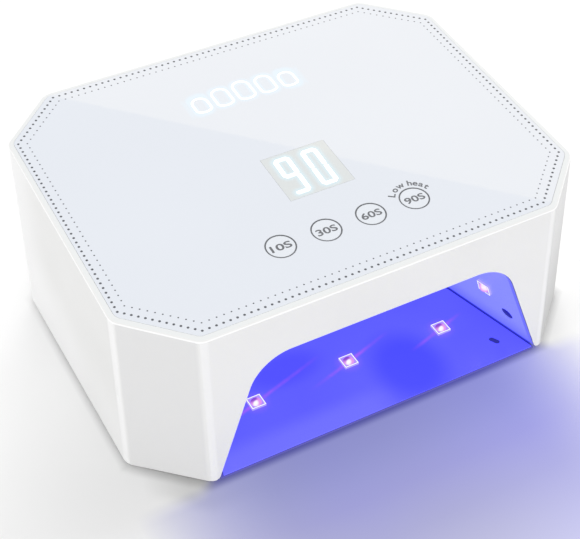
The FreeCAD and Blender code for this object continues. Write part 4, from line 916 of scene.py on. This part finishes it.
def floor_material():
    """Pale table with a painted pool of the violet light that the lamp throws out in front of its opening, and painted
    shade round the lamp's foot.
    """
    t = Tree("floor_white")
    x, y, z = t.split(t.place())
    px, py = t.math("MULTIPLY", x, 1000.0), t.math("MULTIPLY", y, 1000.0)
    fine = t.noise(6.0, 2.0)
    base = t.mix(fine, (0.93, 0.93, 0.93), (0.95, 0.95, 0.95))
    # soft contact shade close round the foot of the shell
    foot_x, foot_y, cut_x, cut_y = cad_high[0] * 1000.0, cad_high[1] * 1000.0, 26.5, 25.2
    ax, ay = t.math("ABSOLUTE", px), t.math("ABSOLUTE", py)
    span = math.hypot(cut_x, cut_y)
    slanted = t.math("ADD", t.math("MULTIPLY", t.math("SUBTRACT", ax, foot_x), cut_y / span),
                     t.math("MULTIPLY", t.math("SUBTRACT", ay, foot_y - cut_y), cut_x / span))
    gap = t.math("MAXIMUM", t.math("MAXIMUM", t.math("SUBTRACT", ax, foot_x), t.math("SUBTRACT", ay, foot_y)), slanted)
    share = t.smooth(py, 10.0, 70.0, 1.0, 0.25)
    beside = t.math("MULTIPLY", t.smooth(t.math("ABSOLUTE", px), 99.0, 106.0), t.smooth(py, -66.0, -54.0))
    beside = t.math("MAXIMUM", beside, t.smooth(px, 20.0, 45.0))
    thin = t.math("MULTIPLY", t.math("SUBTRACT", 1.0, t.math("MULTIPLY", gap, 1.0 / 3.4), clamp=True), 0.5)
    close = t.mix_value(beside, t.smooth(gap, 5.0, 0.0, 0.0, 0.58), thin)
    base = t.mix(t.math("MULTIPLY", share, close), base, t.tinted(base, (0.52, 0.52, 0.52)))
    # painted shade: a broad fall towards the left front, and a grey wedge of painted shadow between the left front foot
    # and the violet pool
    broad = t.math("MULTIPLY", t.smooth(px, -55.0, -95.0), t.math("MULTIPLY", t.smooth(py, 5.0, -75.0), t.smooth(py, -78.0, -100.0, 1.0, 0.5)))
    base = t.mix(broad, base, t.tinted(base, (0.89, 0.89, 0.89)))
    along = t.math("ADD", t.math("MULTIPLY", t.math("SUBTRACT", foot_x, ax), cut_x / span),
                   t.math("MULTIPLY", t.math("SUBTRACT", ay, foot_y - cut_y), cut_y / span))
    run = t.math("SUBTRACT", along, t.math("MULTIPLY", gap, 0.6))
    wedge = t.math("MULTIPLY", t.math("SUBTRACT", run, 5.0), 1.0 / 21.0, clamp=True)
    wedge = t.math("MULTIPLY", wedge, t.math("MULTIPLY", t.smooth(gap, 16.0, 8.0), t.math("MULTIPLY", t.smooth(px, -55.0, -75.0), t.smooth(py, -45.0, -58.0))))
    base = t.mix(wedge, base, t.tinted(base, (0.755, 0.755, 0.75)))
    plain = t.principled(Base_Color=base, Roughness=0.55, Specular_IOR_Level=0.2)
    # distance from the line of the opening, and the fading towards both sides
    over = t.math("MAXIMUM", t.math("SUBTRACT", t.math("ABSOLUTE", px), 45.0), 0.0)
    ahead = t.math("ADD", py, 84.0)
    far = t.math("SQRT", t.math("ADD", t.math("MULTIPLY", t.math("MULTIPLY", over, over), 0.35), t.math("MULTIPLY", ahead, ahead)))
    tone = None
    steps = ((0.0, (142, 144, 203)), (9.0, (146, 148, 206)), (16.0, (150, 152, 209)), (27.0, (157, 158, 214)), (35.0, (161, 161, 216)), (43.0, (167, 167, 217)),
             (56.0, (175, 175, 217)), (71.0, (188, 188, 222)), (90.0, (203, 203, 231)), (130.0, (230, 230, 243)), (190.0, (252, 252, 253)))
    for (d0, c0), (d1, c1) in zip(steps, steps[1:]):
        ramp = t.node("ShaderNodeMapRange", interpolation_type="LINEAR")
        for i, v in enumerate((far, d0, d1, 0.0, 1.0)):
            t.feed(ramp.inputs[i], v)
        tone = t.mix(ramp.outputs[0], linear(*c0) if tone is None else tone, linear(*c1))
    # the pool is a clearer violet towards the right and greyer at the left
    tone = t.mix(t.smooth(px, -15.0, 65.0), tone, t.tinted(tone, (1.04, 1.04, 1.17)))
    tone = t.mix(t.smooth(px, -30.0, -75.0), tone, t.tinted(tone, (1.09, 1.09, 0.95)))
    # shadow line under the front edge
    tone = t.mix(t.smooth(ahead, -2.4, 2.6), tone, t.tinted(tone, (0.34, 0.34, 0.59)))
    right_side = t.math("MULTIPLY", t.math("SUBTRACT", px, 42.0), 1.0 / 60.0, clamp=True)
    left_side = t.math("MULTIPLY", t.math("SUBTRACT", -57.0, px), 1.0 / 58.0, clamp=True)
    fade = t.math("SUBTRACT", 1.0, t.math("MAXIMUM", t.math("MULTIPLY", right_side, right_side), t.math("MULTIPLY", left_side, left_side)), clamp=True)
    near_line = t.math("SUBTRACT", py, t.math("MULTIPLY", t.smooth(t.math("ABSOLUTE", px), 70.0, 88.0, 1.0, 0.0), 12.0))
    front = t.math("MULTIPLY", t.smooth(near_line, -80.0, -90.0), fade)
    e = t.node("ShaderNodeEmission")
    t.link(tone, e.inputs[0])
    both = t.node("ShaderNodeMixShader")
    t.link(front, both.inputs[0])
    t.link(plain.outputs[0], both.inputs[1])
    t.link(e.outputs[0], both.inputs[2])
    return t.finish(both.outputs[0])


def plane(name, size, z, material):
    mesh = bpy.data.meshes.new(name)
    h = size / 2
    mesh.from_pydata([(-h, -h, z), (h, -h, z), (h, h, z), (-h, h, z)], [], [(0, 1, 2, 3)])
    mesh.materials.append(material)
    obj = bpy.data.objects.new(name, mesh)
    scene.collection.objects.link(obj)
    return obj


# the seen floor carries the glow; the one just under it gives the lamp its neutral bounce light
floor = plane("floor", 16.0, 0.0, floor_material())
floor.visible_diffuse = floor.visible_glossy = floor.visible_transmission = floor.visible_shadow = False
bounce = plane("floor_bounce", 16.0, -0.0004, moulded("floor_plain", (0.9, 0.9, 0.9), rough=0.6, vary=0.01, grain=40.0, relief=0.0))
bounce.visible_camera = False

world = bpy.data.worlds.new("studio")
scene.world = world
world.use_nodes = True
world.node_tree.nodes["Background"].inputs[0].default_value = (1.0, 1.0, 1.0, 1.0)
world.node_tree.nodes["Background"].inputs[1].default_value = 0.9


def area(name, at, aim, size, power, colour=(1, 1, 1), size_y=None, **visible):
    data = bpy.data.lights.new(name, "AREA")
    data.energy = power
    data.color = colour
    data.shape = "RECTANGLE" if size_y else "SQUARE"
    data.size = size
    if size_y:
        data.size_y = size_y
    obj = bpy.data.objects.new(name, data)
    scene.collection.objects.link(obj)
    obj.matrix_world = Matrix.Translation(at) @ (Vector(aim) - Vector(at)).to_track_quat("-Z", "Y").to_matrix().to_4x4()
    for key, value in visible.items():
        setattr(obj, "visible_" + key, value)
    return obj


SHEEN = 0.68
scene.view_settings.view_transform = "Standard"
scene.view_settings.look = "None"
scene.view_settings.exposure = 0.0
scene.view_settings.gamma = 1.0

area("key_light", (1.1, 1.3, 1.9), (0, 0, 0.04), 1.4, 16.0, glossy=False)
area("front_light", (-0.3, -2.0, 1.1), (0, 0, 0.04), 1.4, 6.0, glossy=False)
area("left_light", (-2.0, 0.3, 1.0), (0, 0, 0.04), 1.4, 3.0, glossy=False)

# broad soft box seen only as the pale sheen across one half of the glossy panel: its straight side is placed by
# mirroring the viewpoint in the panel and carrying the wanted line on
eye = camera.matrix_world.translation
plane_point, plane_normal = TOP.translation, (TOP.to_3x3() @ Vector((0, 0, 1))).normalized()
ghost = eye - plane_normal * (2.0 * (eye - plane_point).dot(plane_normal))


def beyond(x, y, reach=3.2):
    """A point seen mirrored at (x, y) of the panel, in millimetres."""
    p = TOP @ Vector((x * MM, y * MM, 0.0))
    return ghost + (p - ghost) * reach


corner_a, corner_b, inner_side = beyond(-100.0, 100.0), beyond(100.0, -97.0), beyond(90.0, 90.0)
run_dir = (corner_b - corner_a).normalized()
across = (inner_side - corner_a) - run_dir * (inner_side - corner_a).dot(run_dir)
depth_dir = across.normalized()
box_length, box_depth = (corner_b - corner_a).length * 1.3, across.length * 1.25
sheen_data = bpy.data.lights.new("sheen_box", "AREA")
sheen_data.shape, sheen_data.size, sheen_data.size_y = "RECTANGLE", box_length, box_depth
sheen_data.energy = 4.0 * box_length * box_depth * SHEEN
sheen_data.color = (1.0, 0.79, 0.44)
sheen = bpy.data.objects.new("sheen_box", sheen_data)
scene.collection.objects.link(sheen)
face = run_dir.cross(depth_dir).normalized()
if face.dot(TOP.translation - corner_a) > 0:      # a lamp shines along its local -z
    face = -face
middle = (corner_a + corner_b) / 2 + depth_dir * (box_depth / 2)
side_dir = depth_dir.cross(face).normalized()
sheen.matrix_world = Matrix.Translation(middle) @ Matrix((side_dir, depth_dir, face)).transposed().to_4x4()
sheen.visible_diffuse = sheen.visible_transmission = sheen.visible_volume_scatter = sheen.visible_camera = False
